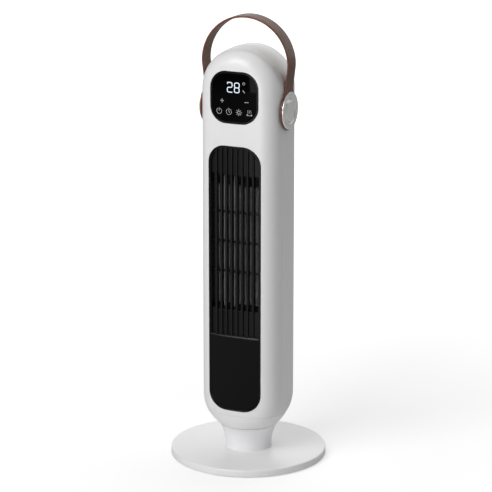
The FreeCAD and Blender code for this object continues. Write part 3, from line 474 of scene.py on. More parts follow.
class MeshMaker:
    """Turns loops of points into finished mesh objects."""

    @staticmethod
    def bridge(name: str, loops: Sequence[Loop], around: bool = True, along: bool = False,
               ends: bool = False) -> bpy.types.Object:
        """Joins loops of equal length into one surface.

        Args:
            name: The object's name.
            loops: The loops, in order.
            around: Whether each loop closes on itself.
            along: Whether the last loop joins the first.
            ends: Whether the first and last loops are filled.

        Returns:
            The object, with doubles merged and faces outwards.
        """
        count = len(loops[0])
        points = [point for loop in loops for point in loop]
        faces = []
        rows = len(loops) if along else len(loops) - 1
        columns = count if around else count - 1
        for row in range(rows):
            start, following = row * count, ((row + 1) % len(loops)) * count
            for column in range(columns):
                step = (column + 1) % count
                faces.append((start + column, start + step, following + step, following + column))
        if ends:
            faces.append(tuple(reversed(range(count))))
            faces.append(tuple(range((len(loops) - 1) * count, len(loops) * count)))
        return MeshMaker.finish(name, points, faces)

    @staticmethod
    def finish(name: str, points: Sequence[Vector], faces: Sequence[Sequence[int]], merge: float = 1e-6,
               ) -> bpy.types.Object:
        """Makes an object of points and faces, merges doubles and turns the faces outwards.

        Args:
            name: The object's name.
            points: The vertices.
            faces: Vertex numbers of each face.
            merge: How close doubles are.

        Returns:
            The object.
        """
        mesh = bpy.data.meshes.new(name)
        mesh.from_pydata([tuple(point) for point in points], [], faces)
        shape = bmesh.new()
        shape.from_mesh(mesh)
        bmesh.ops.remove_doubles(shape, verts=shape.verts, dist=merge)
        bmesh.ops.dissolve_degenerate(shape, dist=merge, edges=shape.edges)
        bmesh.ops.recalc_face_normals(shape, faces=shape.faces)
        shape.to_mesh(mesh)
        shape.free()
        piece = bpy.data.objects.new(name, mesh)
        bpy.context.scene.collection.objects.link(piece)
        return piece

    @staticmethod
    def join(name: str, pieces: Sequence[bpy.types.Object]) -> bpy.types.Object:
        """Gathers several mesh objects into one.

        Args:
            name: The new object's name.
            pieces: The pieces, which are removed.

        Returns:
            The new object.
        """
        shape = bmesh.new()
        for piece in pieces:
            shape.from_mesh(piece.data)
            bpy.data.objects.remove(piece)
        mesh = bpy.data.meshes.new(name)
        shape.to_mesh(mesh)
        shape.free()
        whole = bpy.data.objects.new(name, mesh)
        bpy.context.scene.collection.objects.link(whole)
        return whole

    @staticmethod
    def flatten(piece: bpy.types.Object) -> bpy.types.Object:
        """Applies a piece's modifiers, so that a plain mesh is left.

        Args:
            piece: The piece.

        Returns:
            The same piece.
        """
        bpy.context.view_layer.update()
        graph = bpy.context.evaluated_depsgraph_get()
        mesh = bpy.data.meshes.new_from_object(piece.evaluated_get(graph), depsgraph=graph)
        piece.modifiers.clear()
        piece.data = mesh
        return piece

    @staticmethod
    def carve(piece: bpy.types.Object, cutters: Iterable[bpy.types.Object]) -> bpy.types.Object:
        """Cuts solids out of a piece and removes them.

        Args:
            piece: The piece.
            cutters: The solids to cut out.

        Returns:
            The same piece.
        """
        for cutter in cutters:
            modifier = piece.modifiers.new("cut", "BOOLEAN")
            modifier.operation = "DIFFERENCE"
            modifier.solver = "EXACT"
            modifier.object = cutter
            MeshMaker.flatten(piece)
            bpy.data.objects.remove(cutter)
        return piece

    @staticmethod
    def soften(piece: bpy.types.Object, width: float, segments: int = 2, angle: float = 40.0,
               ) -> bpy.types.Object:
        """Rounds the piece's sharp edges.

        Args:
            piece: The piece.
            width: Width of the rounding.
            segments: Steps across it.
            angle: The least bend, in degrees, that counts as sharp.

        Returns:
            The same piece.
        """
        modifier = piece.modifiers.new("edges", "BEVEL")
        modifier.width = width
        modifier.segments = segments
        modifier.limit_method = "ANGLE"
        modifier.angle_limit = math.radians(angle)
        return MeshMaker.flatten(piece)

    @staticmethod
    def box(name: str, low: Vector, high: Vector) -> bpy.types.Object:
        """A block between two corners.

        Args:
            name: The object's name.
            low: The lowest corner.
            high: The highest corner.

        Returns:
            The block.
        """
        loops = []
        for z in (low.z, high.z):
            loops.append([Vector((low.x, low.y, z)), Vector((high.x, low.y, z)),
                          Vector((high.x, high.y, z)), Vector((low.x, high.y, z))])
        return MeshMaker.bridge(name, loops, ends=True)

    @staticmethod
    def lathe(name: str, profile: Sequence[Point], steps: int = 96, axis: str = "Z",
              centre: Vector = Vector((0, 0, 0))) -> bpy.types.Object:
        """Turns a profile of (radius, height) about an axis through a centre. The profile closes on itself.

        Args:
            name: The object's name.
            profile: The closed profile.
            steps: Steps in one turn.
            axis: The axis, Z, X or Y, along which height runs.
            centre: A point on the axis, where height is zero.

        Returns:
            The turned object.
        """
        loops = []
        for step in range(steps):
            angle = 2 * math.pi * step / steps
            side, rise = math.cos(angle), math.sin(angle)
            turn = {
                "Z": lambda r, h: Vector((r * side, r * rise, h)),
                "X": lambda r, h: Vector((h, r * side, r * rise)),
                "Y": lambda r, h: Vector((r * rise, h, r * side)),
            }[axis]
            loops.append([centre + turn(radius, height) for radius, height in profile])
        return MeshMaker.bridge(name, loops, along=True)


def rounded(corner: Point, before: Point, after: Point, radius: float, steps: int = 5) -> list[Point]:
    """Points of an arc that rounds one corner of a profile.

    Args:
        corner: The sharp corner.
        before: The point before it.
        after: The point after it.
        radius: The arc's radius.
        steps: Steps along the arc.

    Returns:
        The arc's points.
    """
    here = Vector(corner)
    back, ahead = (Vector(before) - here).normalized(), (Vector(after) - here).normalized()
    half = math.acos(max(-1.0, min(1.0, back.dot(ahead)))) / 2
    sides = (Vector(before) - here).length, (Vector(after) - here).length
    reach = min(radius / math.tan(half), 0.49 * min(sides))
    true_radius = reach * math.tan(half)
    middle = here + (back + ahead).normalized() * (true_radius / math.sin(half))
    first, last = here + back * reach - middle, here + ahead * reach - middle
    sweep = first.angle_signed(last)
    points = []
    for step in range(steps + 1):
        turn = -sweep * step / steps
        cosine, sine = math.cos(turn), math.sin(turn)
        points.append((middle.x + first.x * cosine - first.y * sine,
                       middle.y + first.x * sine + first.y * cosine))
    return points


def sweep(degrees: float, steps: int) -> list[float]:
    """Angles from zero to an angle given in degrees, in equal steps."""
    return [math.radians(degrees * step / steps) for step in range(steps + 1)]


def smooth_profile(corners: Sequence[tuple[float, float, float]], steps: int = 5) -> list[Point]:
    """A closed profile from corners of (x, y, radius), each rounded where its radius is above zero.

    Args:
        corners: The corners, in order.
        steps: Steps along each arc.

    Returns:
        The profile's points.
    """
    points: list[Point] = []
    count = len(corners)
    for index, (x, y, radius) in enumerate(corners):
        if radius <= 0:
            points.append((x, y))
            continue
        before, after = corners[index - 1][:2], corners[(index + 1) % count][:2]
        points.extend(rounded((x, y), before, after, radius, steps))
    return points


def ride(piece: bpy.types.Object, body: Body, finish: str, slot: str, *nodes: str, crease: float = 32.0,
         ) -> bpy.types.Object:
    """Dresses a finished piece, smooths it and puts it on its body.

    Args:
        piece: The piece.
        body: The body that it moves with.
        finish: The finish in the palette.
        slot: The record's material slot; not used.
        nodes: The frame's nodes that it stands for.
        crease: The angle past which an edge stays sharp.

    Returns:
        The piece.
    """
    if finish:
        piece.data.materials.clear()
        piece.data.materials.append(PALETTE.get(finish))
    piece.data.shade_smooth()
    piece.data.set_sharp_from_angle(angle=math.radians(crease))
    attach(piece, body.value)
    if nodes:
        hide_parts(*nodes)
    LOG.info("%s: %d faces on %s", piece.name, len(piece.data.polygons), body.value)
    return piece


# ------------------------------------------------------------------------------------------- geometry nodes


class Tree:
    """A geometry node tree under construction, with named inputs."""

    def __init__(self, name: str) -> None:
        """Makes an empty tree with a geometry input and output.

        Args:
            name: The tree's name.
        """
        self.tree = bpy.data.node_groups.new(name, "GeometryNodeTree")
        self.tree.interface.new_socket("Geometry", in_out="INPUT", socket_type="NodeSocketGeometry")
        self.tree.interface.new_socket("Geometry", in_out="OUTPUT", socket_type="NodeSocketGeometry")
        self.inputs = self.tree.nodes.new("NodeGroupInput")
        self.output = self.tree.nodes.new("NodeGroupOutput")

    def entry(self, name: str, kind: str) -> bpy.types.NodeSocket:
        """Adds a named input and returns its socket inside the tree."""
        self.tree.interface.new_socket(name, in_out="INPUT", socket_type=f"NodeSocket{kind}")
        return self.inputs.outputs[name]

    def add(self, kind: str, links: dict[str, object] | None = None, **settings: object) -> bpy.types.Node:
        """Adds a node, sets its properties, and links or sets its inputs.

        Args:
            kind: The node's type.
            links: Sockets or values for its inputs, by name.
            settings: Its properties.

        Returns:
            The node.
        """
        node = self.tree.nodes.new(kind)
        for name, value in settings.items():
            setattr(node, name, value)
        for name, value in (links or {}).items():
            if isinstance(value, bpy.types.NodeSocket):
                self.tree.links.new(value, node.inputs[name])
            else:
                node.inputs[name].default_value = value
        return node

    def math(self, operation: str, first: object, second: object = 0.0) -> bpy.types.NodeSocket:
        """A number worked out from one or two others.

        Args:
            operation: What is worked out.
            first: A socket or a number.
            second: Another.

        Returns:
            The result.
        """
        node = self.tree.nodes.new("ShaderNodeMath")
        node.operation = operation
        for index, value in enumerate((first, second)):
            if isinstance(value, bpy.types.NodeSocket):
                self.tree.links.new(value, node.inputs[index])
            else:
                node.inputs[index].default_value = value
        return node.outputs[0]

    def copies(self, points: bpy.types.Node, piece: bpy.types.NodeSocket, **more: bpy.types.NodeSocket,
               ) -> bpy.types.Node:
        """Puts copies of a piece on points.

        Args:
            points: The node that makes the points.
            piece: The object that is copied.
            more: Other inputs of the copies, by name.

        Returns:
            The node that holds the copies.
        """
        info = self.add("GeometryNodeObjectInfo", {"Object": piece, "As Instance": True})
        links = {"Points": points.outputs[0], "Instance": info.outputs["Geometry"], **more}
        return self.add("GeometryNodeInstanceOnPoints", links)

    def close(self, geometry: bpy.types.NodeSocket, material: bpy.types.NodeSocket) -> bpy.types.NodeTree:
        """Ends the tree in Realize Instances and Set Material.

        Args:
            geometry: The copies.
            material: Their material.

        Returns:
            The finished tree.
        """
        real = self.add("GeometryNodeRealizeInstances", {"Geometry": geometry})
        dressed = self.add("GeometryNodeSetMaterial", {"Geometry": real.outputs[0], "Material": material})
        self.tree.links.new(dressed.outputs[0], self.output.inputs[0])
        return self.tree


def grown(name: str, tree: bpy.types.NodeTree, values: dict[str, object], unit: bpy.types.Object,
          ) -> bpy.types.Object:
    """Runs a tree and leaves its result as a plain mesh.

    Args:
        name: The new object's name.
        tree: The node tree.
        values: The tree's inputs, by name.
        unit: The repeated piece, which is removed afterwards.

    Returns:
        The new object.
    """
    piece = bpy.data.objects.new(name, bpy.data.meshes.new(name))
    bpy.context.scene.collection.objects.link(piece)
    modifier = piece.modifiers.new("copies", "NODES")
    modifier.node_group = tree
    for item in tree.interface.items_tree:
        if item.in_out == "INPUT" and item.name in values:
            modifier[item.identifier] = values[item.name]
    MeshMaker.flatten(piece)
    bpy.data.objects.remove(unit)
    return piece


class Copies:
    """The trees that repeat one piece along a line, over a grid, round a circle or as outlet ribs."""

    @staticmethod
    def line() -> bpy.types.NodeTree:
        """Copies on a straight line: Count, Start, Step, Piece, Material.

        Returns:
            The tree.
        """
        tree = Tree("copies_on_a_line")
        count = tree.entry("Count", "Int")
        start, step = tree.entry("Start", "Vector"), tree.entry("Step", "Vector")
        piece, material = tree.entry("Piece", "Object"), tree.entry("Material", "Material")
        line = tree.add("GeometryNodeMeshLine", {"Count": count, "Start Location": start, "Offset": step})
        return tree.close(tree.copies(line, piece).outputs[0], material)

    @staticmethod
    def grid() -> bpy.types.NodeTree:
        """Copies on a grid: Columns, Rows, Start, Across, Up, Piece, Material.

        Returns:
            The tree.
        """
        tree = Tree("copies_on_a_grid")
        columns, rows = tree.entry("Columns", "Int"), tree.entry("Rows", "Int")
        start, across, up = (tree.entry(name, "Vector") for name in ("Start", "Across", "Up"))
        piece, material = tree.entry("Piece", "Object"), tree.entry("Material", "Material")
        column = tree.add("GeometryNodeMeshLine", {"Count": rows, "Offset": up})
        stack = tree.copies(column, piece).outputs[0]
        row = tree.add("GeometryNodeMeshLine", {"Count": columns, "Start Location": start, "Offset": across})
        whole = tree.add("GeometryNodeInstanceOnPoints", {"Points": row.outputs[0], "Instance": stack})
        return tree.close(whole.outputs[0], material)

    @staticmethod
    def ring() -> bpy.types.NodeTree:
        """Copies round the Z axis, each turned with its place: Count, Start Angle, Piece, Material.

        Returns:
            The tree.
        """
        tree = Tree("copies_round_a_circle")
        count, start = tree.entry("Count", "Int"), tree.entry("Start Angle", "Float")
        piece, material = tree.entry("Piece", "Object"), tree.entry("Material", "Material")
        dots = tree.add("GeometryNodeMeshLine", {"Count": count, "Offset": (0.0, 0.0, 0.0)})
        index = tree.add("GeometryNodeInputIndex")
        share = tree.math("DIVIDE", index.outputs[0], count)
        angle = tree.math("ADD", tree.math("MULTIPLY", share, 2 * math.pi), start)
        turn = tree.add("ShaderNodeCombineXYZ", {"Z": angle})
        copies = tree.copies(dots, piece, Rotation=turn.outputs[0])
        return tree.close(copies.outputs[0], material)

    @staticmethod
    def ribs() -> bpy.types.NodeTree:
        """Upright ribs that follow a curved front and stop under a round-cornered rim.

        Inputs: Count, Pitch, Front (y of the middle rib), Curve (radius of the front), Low, Top,
        Corner Middle, Corner Radius, Piece (one metre tall, standing on the origin), Material.

        Returns:
            The tree.
        """
        tree = Tree("outlet_ribs")
        count = tree.entry("Count", "Int")
        names = ("Pitch", "Front", "Curve", "Low", "Top", "Corner Middle", "Corner Radius")
        pitch, front, curve, low, top, corner, radius = (tree.entry(name, "Float") for name in names)
        piece, material = tree.entry("Piece", "Object"), tree.entry("Material", "Material")
        dots = tree.add("GeometryNodeMeshLine", {"Count": count, "Offset": (0.0, 0.0, 0.0)})
        index = tree.add("GeometryNodeInputIndex")
        middle = tree.math("MULTIPLY", tree.math("SUBTRACT", count, 1.0), 0.5)
        across = tree.math("MULTIPLY", tree.math("SUBTRACT", index.outputs[0], middle), pitch)

        def circle_drop(size: object, reach: object) -> bpy.types.NodeSocket:
            """How far a circle of a size falls away at a distance from its middle.

            Args:
                size: The circle's radius.
                reach: The distance.

            Returns:
                The fall.
            """
            squares = tree.math("MULTIPLY", size, size), tree.math("MULTIPLY", reach, reach)
            square = tree.math("SUBTRACT", *squares)
            return tree.math("SUBTRACT", size, tree.math("SQRT", square))

        depth = tree.math("ADD", front, circle_drop(curve, across))
        past = tree.math("MAXIMUM", tree.math("SUBTRACT", tree.math("ABSOLUTE", across), corner), 0.0)
        height = tree.math("SUBTRACT", tree.math("SUBTRACT", top, circle_drop(radius, past)), low)
        place = tree.add("ShaderNodeCombineXYZ", {"X": across, "Y": depth, "Z": low})
        links = {"Geometry": dots.outputs[0], "Position": place.outputs[0]}
        moved = tree.add("GeometryNodeSetPosition", links)
        size = tree.add("ShaderNodeCombineXYZ", {"X": 1.0, "Y": 1.0, "Z": height})
        copies = tree.copies(moved, piece, Scale=size.outputs[0])
        return tree.close(copies.outputs[0], material)


# ------------------------------------------------------------------------------------------- the head's form


@dataclass(frozen=True)
class HeadForm:
    """The head's outer surface: a bowl at the foot, a straight column of arcs, and a half-round top."""

    half_width: float
    half_depth: float
    dome_centre: float
    front_curve: float = 220.0 * MM
    side_curve: float = 250.0 * MM
    corner_curve: float = 28.0 * MM
    bowl_low: float = 51.8 * MM
    bowl_high: float = 104.0 * MM
    bowl_foot: float = 46.7 * MM
    bowl_girth: float = 70.0 * MM
    bowl_power: float = 2.5

    @property
    def front_middle(self) -> Vector:
        """Centre of the front arc of the section."""
        return Vector((0.0, self.front_curve - self.half_depth))

    @property
    def side_middle(self) -> Vector:
        """Centre of the side arc of the section."""
        return Vector((self.half_width - self.side_curve, 0.0))

    @property
    def corner_middle(self) -> Vector:
        """Centre of the corner arc, which touches the front arc and the side arc from inside.

        Returns:
            The centre.
        """
        front, side = self.front_middle, self.side_middle
        reach_front = self.front_curve - self.corner_curve
        reach_side = self.side_curve - self.corner_curve
        across = side - front
        along = (reach_front ** 2 - reach_side ** 2 + across.length_squared) / (2 * across.length)
        unit = across.normalized()
        return front + unit * along + Vector((-unit.y, unit.x)) * math.sqrt(reach_front ** 2 - along ** 2)

    @property
    def turns(self) -> tuple[float, float]:
        """The normal's angle where the front arc ends and where the side arc begins.

        Returns:
            The two angles.
        """
        front_way = self.corner_middle - self.front_middle
        side_way = self.corner_middle - self.side_middle
        return math.atan2(front_way.y, front_way.x), math.atan2(side_way.y, side_way.x)

    def at(self, angle: float) -> tuple[Vector, Vector]:
        """The section's point whose outward normal has an angle, from -90 degrees in front to 90 behind.

        Args:
            angle: The normal's angle.

        Returns:
            The point and its normal.
        """
        mirrored = angle > 0
        angle = -abs(angle)
        normal = Vector((math.cos(angle), math.sin(angle)))
        front_end, side_start = self.turns
        if angle < front_end:
            point = self.front_middle + normal * self.front_curve
        elif angle < side_start:
            point = self.corner_middle + normal * self.corner_curve
        else:
            point = self.side_middle + normal * self.side_curve
        if mirrored:
            point.y, normal.y = -point.y, -normal.y
        return point, normal

    def angles(self, front_steps: int = 14, corner_steps: int = 22, side_steps: int = 10) -> list[float]:
        """Normal angles spaced along half of the section, from the front middle to the side middle.

        Args:
            front_steps: Steps along the front arc.
            corner_steps: Steps round the corner.
            side_steps: Steps along the side arc.

        Returns:
            The angles, in radians.
        """
        front_end, side_start = self.turns
        stops = [(-math.pi / 2, front_end, front_steps), (front_end, side_start, corner_steps),
                 (side_start, 0.0, side_steps)]
        found = [start + (end - start) * step / count for start, end, count in stops for step in range(count)]
        return found + [0.0]

    def side_angle(self, y: float) -> float:
        """The normal's angle where the side arc passes a depth."""
        return math.asin(y / self.side_curve)

    def depth(self, x: float, z: float) -> float:
        """The front surface's y at a place seen from the front.

        Args:
            x: The place across.
            z: The height.

        Returns:
            The y of the surface.
        """
        reach = abs(x)
        if z > self.dome_centre:
            reach = math.hypot(x, z - self.dome_centre)
        if z < self.bowl_high:
            return self.bowl_depth(reach, z)
        return self.section_depth(reach)

    def section_depth(self, reach: float) -> float:
        """The straight column's front y at a distance from its middle.

        Args:
            reach: The distance from the middle.

        Returns:
            The y of the surface.
        """
        front, corner = self.front_middle, self.corner_middle
        limit = front.x + math.cos(self.turns[0]) * self.front_curve
        if reach <= limit:
            return front.y - math.sqrt(self.front_curve ** 2 - reach ** 2)
        out = min(abs(reach - corner.x), self.corner_curve)
        return corner.y - math.sqrt(self.corner_curve ** 2 - out ** 2)

    def bowl_depth(self, reach: float, z: float) -> float:
        """The front y in the bowl, found between two neighbouring points of its section.

        Args:
            reach: The distance from the middle.
            z: The height.

        Returns:
            The y of the surface.
        """
        before = self.place(self.at(-math.pi / 2)[0], z)
        for angle in self.angles()[1:]:
            point = self.place(self.at(angle)[0], z)
            if point.x >= reach:
                share = (reach - before.x) / (point.x - before.x)
                return before.y + (point.y - before.y) * share
            before = point
        return before.y

    def place(self, point: Vector, z: float) -> Vector:
        """Where a point of the straight section goes at a height of the bowl.

        Args:
            point: A point of the straight section.
            z: The height.

        Returns:
            The point at that height.
        """
        if z >= self.bowl_high:
            return point.copy()
        bulge = ((self.bowl_high - z) / (self.bowl_high - self.bowl_low)) ** self.bowl_power
        reach = self.bowl_girth - (self.bowl_girth - self.bowl_foot) * bulge
        return point * (reach / self.bowl_girth) * (1.0 - bulge) + point.normalized() * reach * bulge

    def ring(self, z: float, offset: float) -> Loop:
        """The whole section as a closed loop at a height, grown by an offset.

        Args:
            z: The height.
            offset: How far it is grown.

        Returns:
            The loop.
        """
        front = self.angles()
        half = front + [-angle for angle in reversed(front[:-1])]
        right = []
        for angle in half:
            point, normal = self.at(angle)
            spot = self.place(point, z) + normal * offset
            right.append(Vector((spot.x, spot.y, z)))
        left = [Vector((-point.x, point.y, z)) for point in reversed(right[1:-1])]
        return right + left


def head_form() -> HeadForm:
    """The head's form, sized from the frame's rear shell."""
    _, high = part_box("rear_shell")
    return HeadForm(high.x, high.y, high.z - high.x)


@dataclass(frozen=True)
class Outline:
    """A rectangle with rounded corners on the front of the head, seen from the front."""

    left: float
    right: float
    low: float
    high: float
    low_corner: float
    high_corner: float
    steps: int = 14

    def points(self, inset: float = 0.0) -> list[Point]:
        """The outline's (x, z) points drawn in by an inset, anticlockwise from the bottom left.

        Args:
            inset: How far each side moves in.

        Returns:
            The points, as many for every inset.
        """
        small = 0.02 * MM
        low_radius, high_radius = max(self.low_corner - inset, small), max(self.high_corner - inset, small)
        left, right = self.left + inset, self.right - inset
        low, high = self.low + inset, self.high - inset
        corners = [
            (left + low_radius, low + low_radius, low_radius, 180.0),
            (right - low_radius, low + low_radius, low_radius, 270.0),
            (right - high_radius, high - high_radius, high_radius, 0.0),
            (left + high_radius, high - high_radius, high_radius, 90.0),
        ]
        found: list[Point] = []
        for index, (x, z, radius, start) in enumerate(corners):
            arc = [math.radians(start + 90.0 * step / self.steps) for step in range(self.steps + 1)]
            found += [(x + radius * math.cos(angle), z + radius * math.sin(angle)) for angle in arc]
            x_end, z_end = found[-1]
            following = corners[(index + 1) % 4]
            turn = math.radians(following[3])
            x_next = following[0] + following[2] * math.cos(turn)
            z_next = following[1] + following[2] * math.sin(turn)
            straight = 10
            found += [(x_end + (x_next - x_end) * step / straight, z_end + (z_next - z_end) * step / straight)
                      for step in range(1, straight)]
        return found

    def cutter(self, name: str, near: float, far: float, inset: float = 0.0) -> bpy.types.Object:
        """A prism of the outline between two depths."""
        loops = [[Vector((x, y, z)) for x, z in self.points(inset)] for y in (near, far)]
        return MeshMaker.bridge(name, loops, ends=True)

    def loop(self, form: HeadForm, inset: float, offset: float, sign: float = 1.0) -> Loop:
        """The outline laid on the head's front, or on its back where sign is -1, raised by an offset."""
        return [Vector((x, sign * (form.depth(x, z) - offset), z)) for x, z in self.points(inset)]

    def ring(self, name: str, form: HeadForm, profile: Sequence[Point], sign: float = 1.0,
             ) -> bpy.types.Object:
        """A closed rim whose profile is a list of (inset, offset)."""
        loops = [self.loop(form, inset, offset, sign) for inset, offset in profile]
        return MeshMaker.bridge(name, loops, along=True)

    def lid(self, name: str, form: HeadForm, offset: float, depth: float, edge: float, sign: float = 1.0,
            ) -> bpy.types.Object:
        """A panel that follows the head's surface.

        Args:
            name: The object's name.
            form: The head's form.
            offset: How high its face stands over the form.
            depth: Its thickness.
            edge: The radius of its front edge.
            sign: 1 on the front, -1 on the back.

        Returns:
            The closed panel.
        """
        rounding = [(edge * (1 - math.cos(turn)), offset - edge * (1 - math.sin(turn)))
                    for turn in sweep(90, 6)]
        loops = [self.gathered(form, 0.0, offset - depth, share / 3, sign) for share in range(4)]
        loops += [self.loop(form, inset, lift, sign) for inset, lift in rounding]
        loops += [self.gathered(form, edge, offset, 1 - step / 14, sign) for step in range(1, 15)]
        return MeshMaker.bridge(name, loops)

    def gathered(self, form: HeadForm, inset: float, offset: float, share: float, sign: float) -> Loop:
        """A loop drawn towards the middle line, to fill a face row by row."""
        return [Vector((x * share, sign * (form.depth(x * share, z) - offset), z))
                for x, z in self.points(inset)]


# ------------------------------------------------------------------------------------------- the column


@dataclass(frozen=True)
class ShellSizes:
    """Sizes of the two shells of the column."""

    low: float = 74.1 * MM
    wall: float = 2.6 * MM
    seam: float = -15.0 * MM
    gap: float = 0.3 * MM
    edge: float = 0.4 * MM
    well_radius: float = 3.3 * MM
    well_floor: float = 19.6 * MM
    well_places: tuple[Point, ...] = tuple(
        (x * MM, z * MM) for x in (-50.0, 50.0) for z in (112.0, 330.0, 520.0))
    sleeve_wall: float = 1.2 * MM
    seat: tuple[float, float] = (15.5 * MM, 17.0 * MM)
    screw_radius: float = 1.9 * MM
    dome_steps: int = 72
    cap_wall: float = 2.6 * MM
    cap_round: float = 0.35 * MM
    cap_floor: float = 55.0 * MM
    post_radius: float = 17.0 * MM


class Column:
    """Front shell, rear shell and bottom cap, swept over the head's form."""

    def __init__(self, form: HeadForm, sizes: ShellSizes = ShellSizes()) -> None:
        """Keeps the form and the sizes."""
        self.form, self.sizes = form, sizes

    def section(self, half: Half) -> list[Vector]:
        """One half of a shell's cut section, outside from the middle to the seam and back inside.

        Args:
            half: Which shell.

        Returns:
            The section's points.
        """
        form, sizes = self.form, self.sizes
        reach = sizes.seam + half.value * sizes.gap / 2
        stop = form.side_angle(reach)
        spread = form.angles() if half is Half.FRONT else [-angle for angle in form.angles()]
        inside = [angle for angle in spread if (angle - stop) * half.value > 0.004]
        if half is Half.REAR:
            inside += [angle for angle in reversed(form.angles()) if stop + 0.004 < angle < -0.002]
        edge, normal = form.at(stop)
        tangent = Vector((-normal.y, normal.x)) * -half.value
        outer, inner = [], []
        for angle in inside:
            point, way = form.at(angle)
            outer.append(point)
            inner.append(point - way * sizes.wall)
        outer[0].x = inner[0].x = 0.0
        rounding = [edge - (tangent + normal) * sizes.edge + normal * sizes.edge * math.cos(turn)
                    + tangent * sizes.edge * math.sin(turn) for turn in sweep(90, 5)]
        back = [edge - normal * depth for depth in (sizes.wall * 0.6, sizes.wall)]
        return outer + rounding + back + list(reversed(inner))

    def heights(self) -> list[float]:
        """Heights of the rows, close together in the bowl.

        Returns:
            The heights.
        """
        low, high, top = self.sizes.low, self.form.bowl_high, self.form.dome_centre
        bowl = [low + (high - low) * step / 12 for step in range(12)]
        return bowl + [high + (top - high) * step / 24 for step in range(25)]

    def shell(self, half: Half) -> bpy.types.Object:
        """One closed shell without its openings.

        Args:
            half: Which shell.

        Returns:
            The shell.
        """
        section, form, steps = self.section(half), self.form, self.sizes.dome_steps
        rows = []
        heights = self.heights()
        for z in heights:
            spots = [self.form.place(point, z) for point in section]
            rows.append([Vector((spot.x, spot.y, z)) for spot in spots])
        for step in range(1, steps):
            angle = math.pi * step / steps
            side, rise = math.cos(angle), math.sin(angle)
            rows.append([Vector((point.x * side, point.y, form.dome_centre + point.x * rise))
                         for point in section])
        for z in reversed(heights):
            spots = [self.form.place(point, z) for point in section]
            rows.append([Vector((-spot.x, spot.y, z)) for spot in spots])
        count = len(section)
        points = [point for row in rows for point in row]
        faces = []
        for row in range(len(rows) - 1):
            for column in range(count - 1):
                first = row * count + column
                faces.append((first, first + 1, first + 1 + count, first + count))
        for start in (0, (len(rows) - 1) * count):
            for column in range(count // 2):
                faces.append((start + column, start + column + 1, start + count - 2 - column,
                              start + count - 1 - column))
        return MeshMaker.finish(f"visual_{half.name.lower()}_shell", points, faces, 2e-6)

    def wells(self) -> list[bpy.types.Object]:
        """Cutters of the six screw wells in the rear.

        Returns:
            The cutters.
        """
        sizes = self.sizes
        cutters = []
        for x, z in sizes.well_places:
            profile = [(0.0, sizes.well_floor + 8 * MM), (sizes.well_radius, sizes.well_floor + 8 * MM),
                       (sizes.well_radius, 70 * MM), (0.0, 70 * MM)]
            cutters.append(MeshMaker.lathe("well", profile, 32, "Y", Vector((x, 0, z))))
        return cutters

    def sleeves(self) -> list[bpy.types.Object]:
        """Tubes that line the screw wells, from the shell's wall to the screw's seat.

        Returns:
            The tubes.
        """
        sizes = self.sizes
        found = []
        for x, z in sizes.well_places:
            mouth = -self.form.depth(x, z) - 1.2 * MM
            outer, screw = sizes.well_radius + sizes.sleeve_wall, sizes.screw_radius
            foot, seat = sizes.seat
            profile = [(sizes.well_radius, mouth), (outer, mouth), (outer, foot), (screw, foot),
                       (screw, seat), (sizes.well_radius, seat)]
            found.append(MeshMaker.lathe("sleeve", profile, 32, "Y", Vector((x, 0, z))))
        return found

    def build(self, windows: Sequence[Outline], intake: Outline) -> None:
        """Builds both shells with their openings, and the bottom cap.

        Args:
            windows: The openings in front.
            intake: The opening in the rear.
        """
        front = self.shell(Half.FRONT)
        cutters = [window.cutter("window", -90 * MM, -18 * MM, -0.15 * MM) for window in windows]
        MeshMaker.carve(front, cutters)
        ride(front, Body.HEAD, "shell", "white_shell", "front_shell")
        rear = self.shell(Half.REAR)
        MeshMaker.carve(rear, [intake.cutter("window", 30 * MM, 80 * MM, -0.15 * MM), *self.wells()])
        rear = MeshMaker.join("visual_rear_shell", [rear, *self.sleeves()])
        ride(rear, Body.HEAD, "shell", "white_shell", "rear_shell")
        self.bottom_cap()

    def bottom_cap(self) -> None:
        """The bowl under the shells, with a hole for the post."""
        low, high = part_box("bottom_cap")
        foot, top, sizes = low.z, high.z, self.sizes
        wall, edge = sizes.cap_wall, sizes.cap_round
        rows = [self.form.ring(foot + (top - foot) * (step / 16) ** 1.3, 0.0) for step in range(17)]
        rim = [[Vector((point.x, point.y, top - edge * (1 - math.sin(turn)))) -
                Vector((point.x, point.y, 0)).normalized() * edge * (1 - math.cos(turn))
                for point in rows[-1]] for turn in sweep(90, 4)]
        lip = self.form.ring(top, -wall)
        floor, post = sizes.cap_floor, sizes.post_radius
        inner = [self.form.ring(z, -wall) for z in (top - 4 * MM, floor + 8 * MM, floor + 2 * MM)]

        def circle(radius: float, z: float) -> Loop:
            """A circle with the ring's own directions, so that rows join without twisting."""
            return [Vector((point.x, point.y, 0)).normalized() * radius + Vector((0, 0, z)) for point in lip]

        hole = [circle(38 * MM, floor), circle(post, floor), circle(post, foot)]
        under = [circle(30 * MM, foot), circle(42 * MM, foot)]
        loops = rows[:-1] + rim + [lip] + inner + hole + under
        cap = MeshMaker.bridge("visual_bottom_cap", loops, along=True)
        ride(cap, Body.HEAD, "shell", "white_shell", "bottom_cap")


# ------------------------------------------------------------------------------------------- front outlet


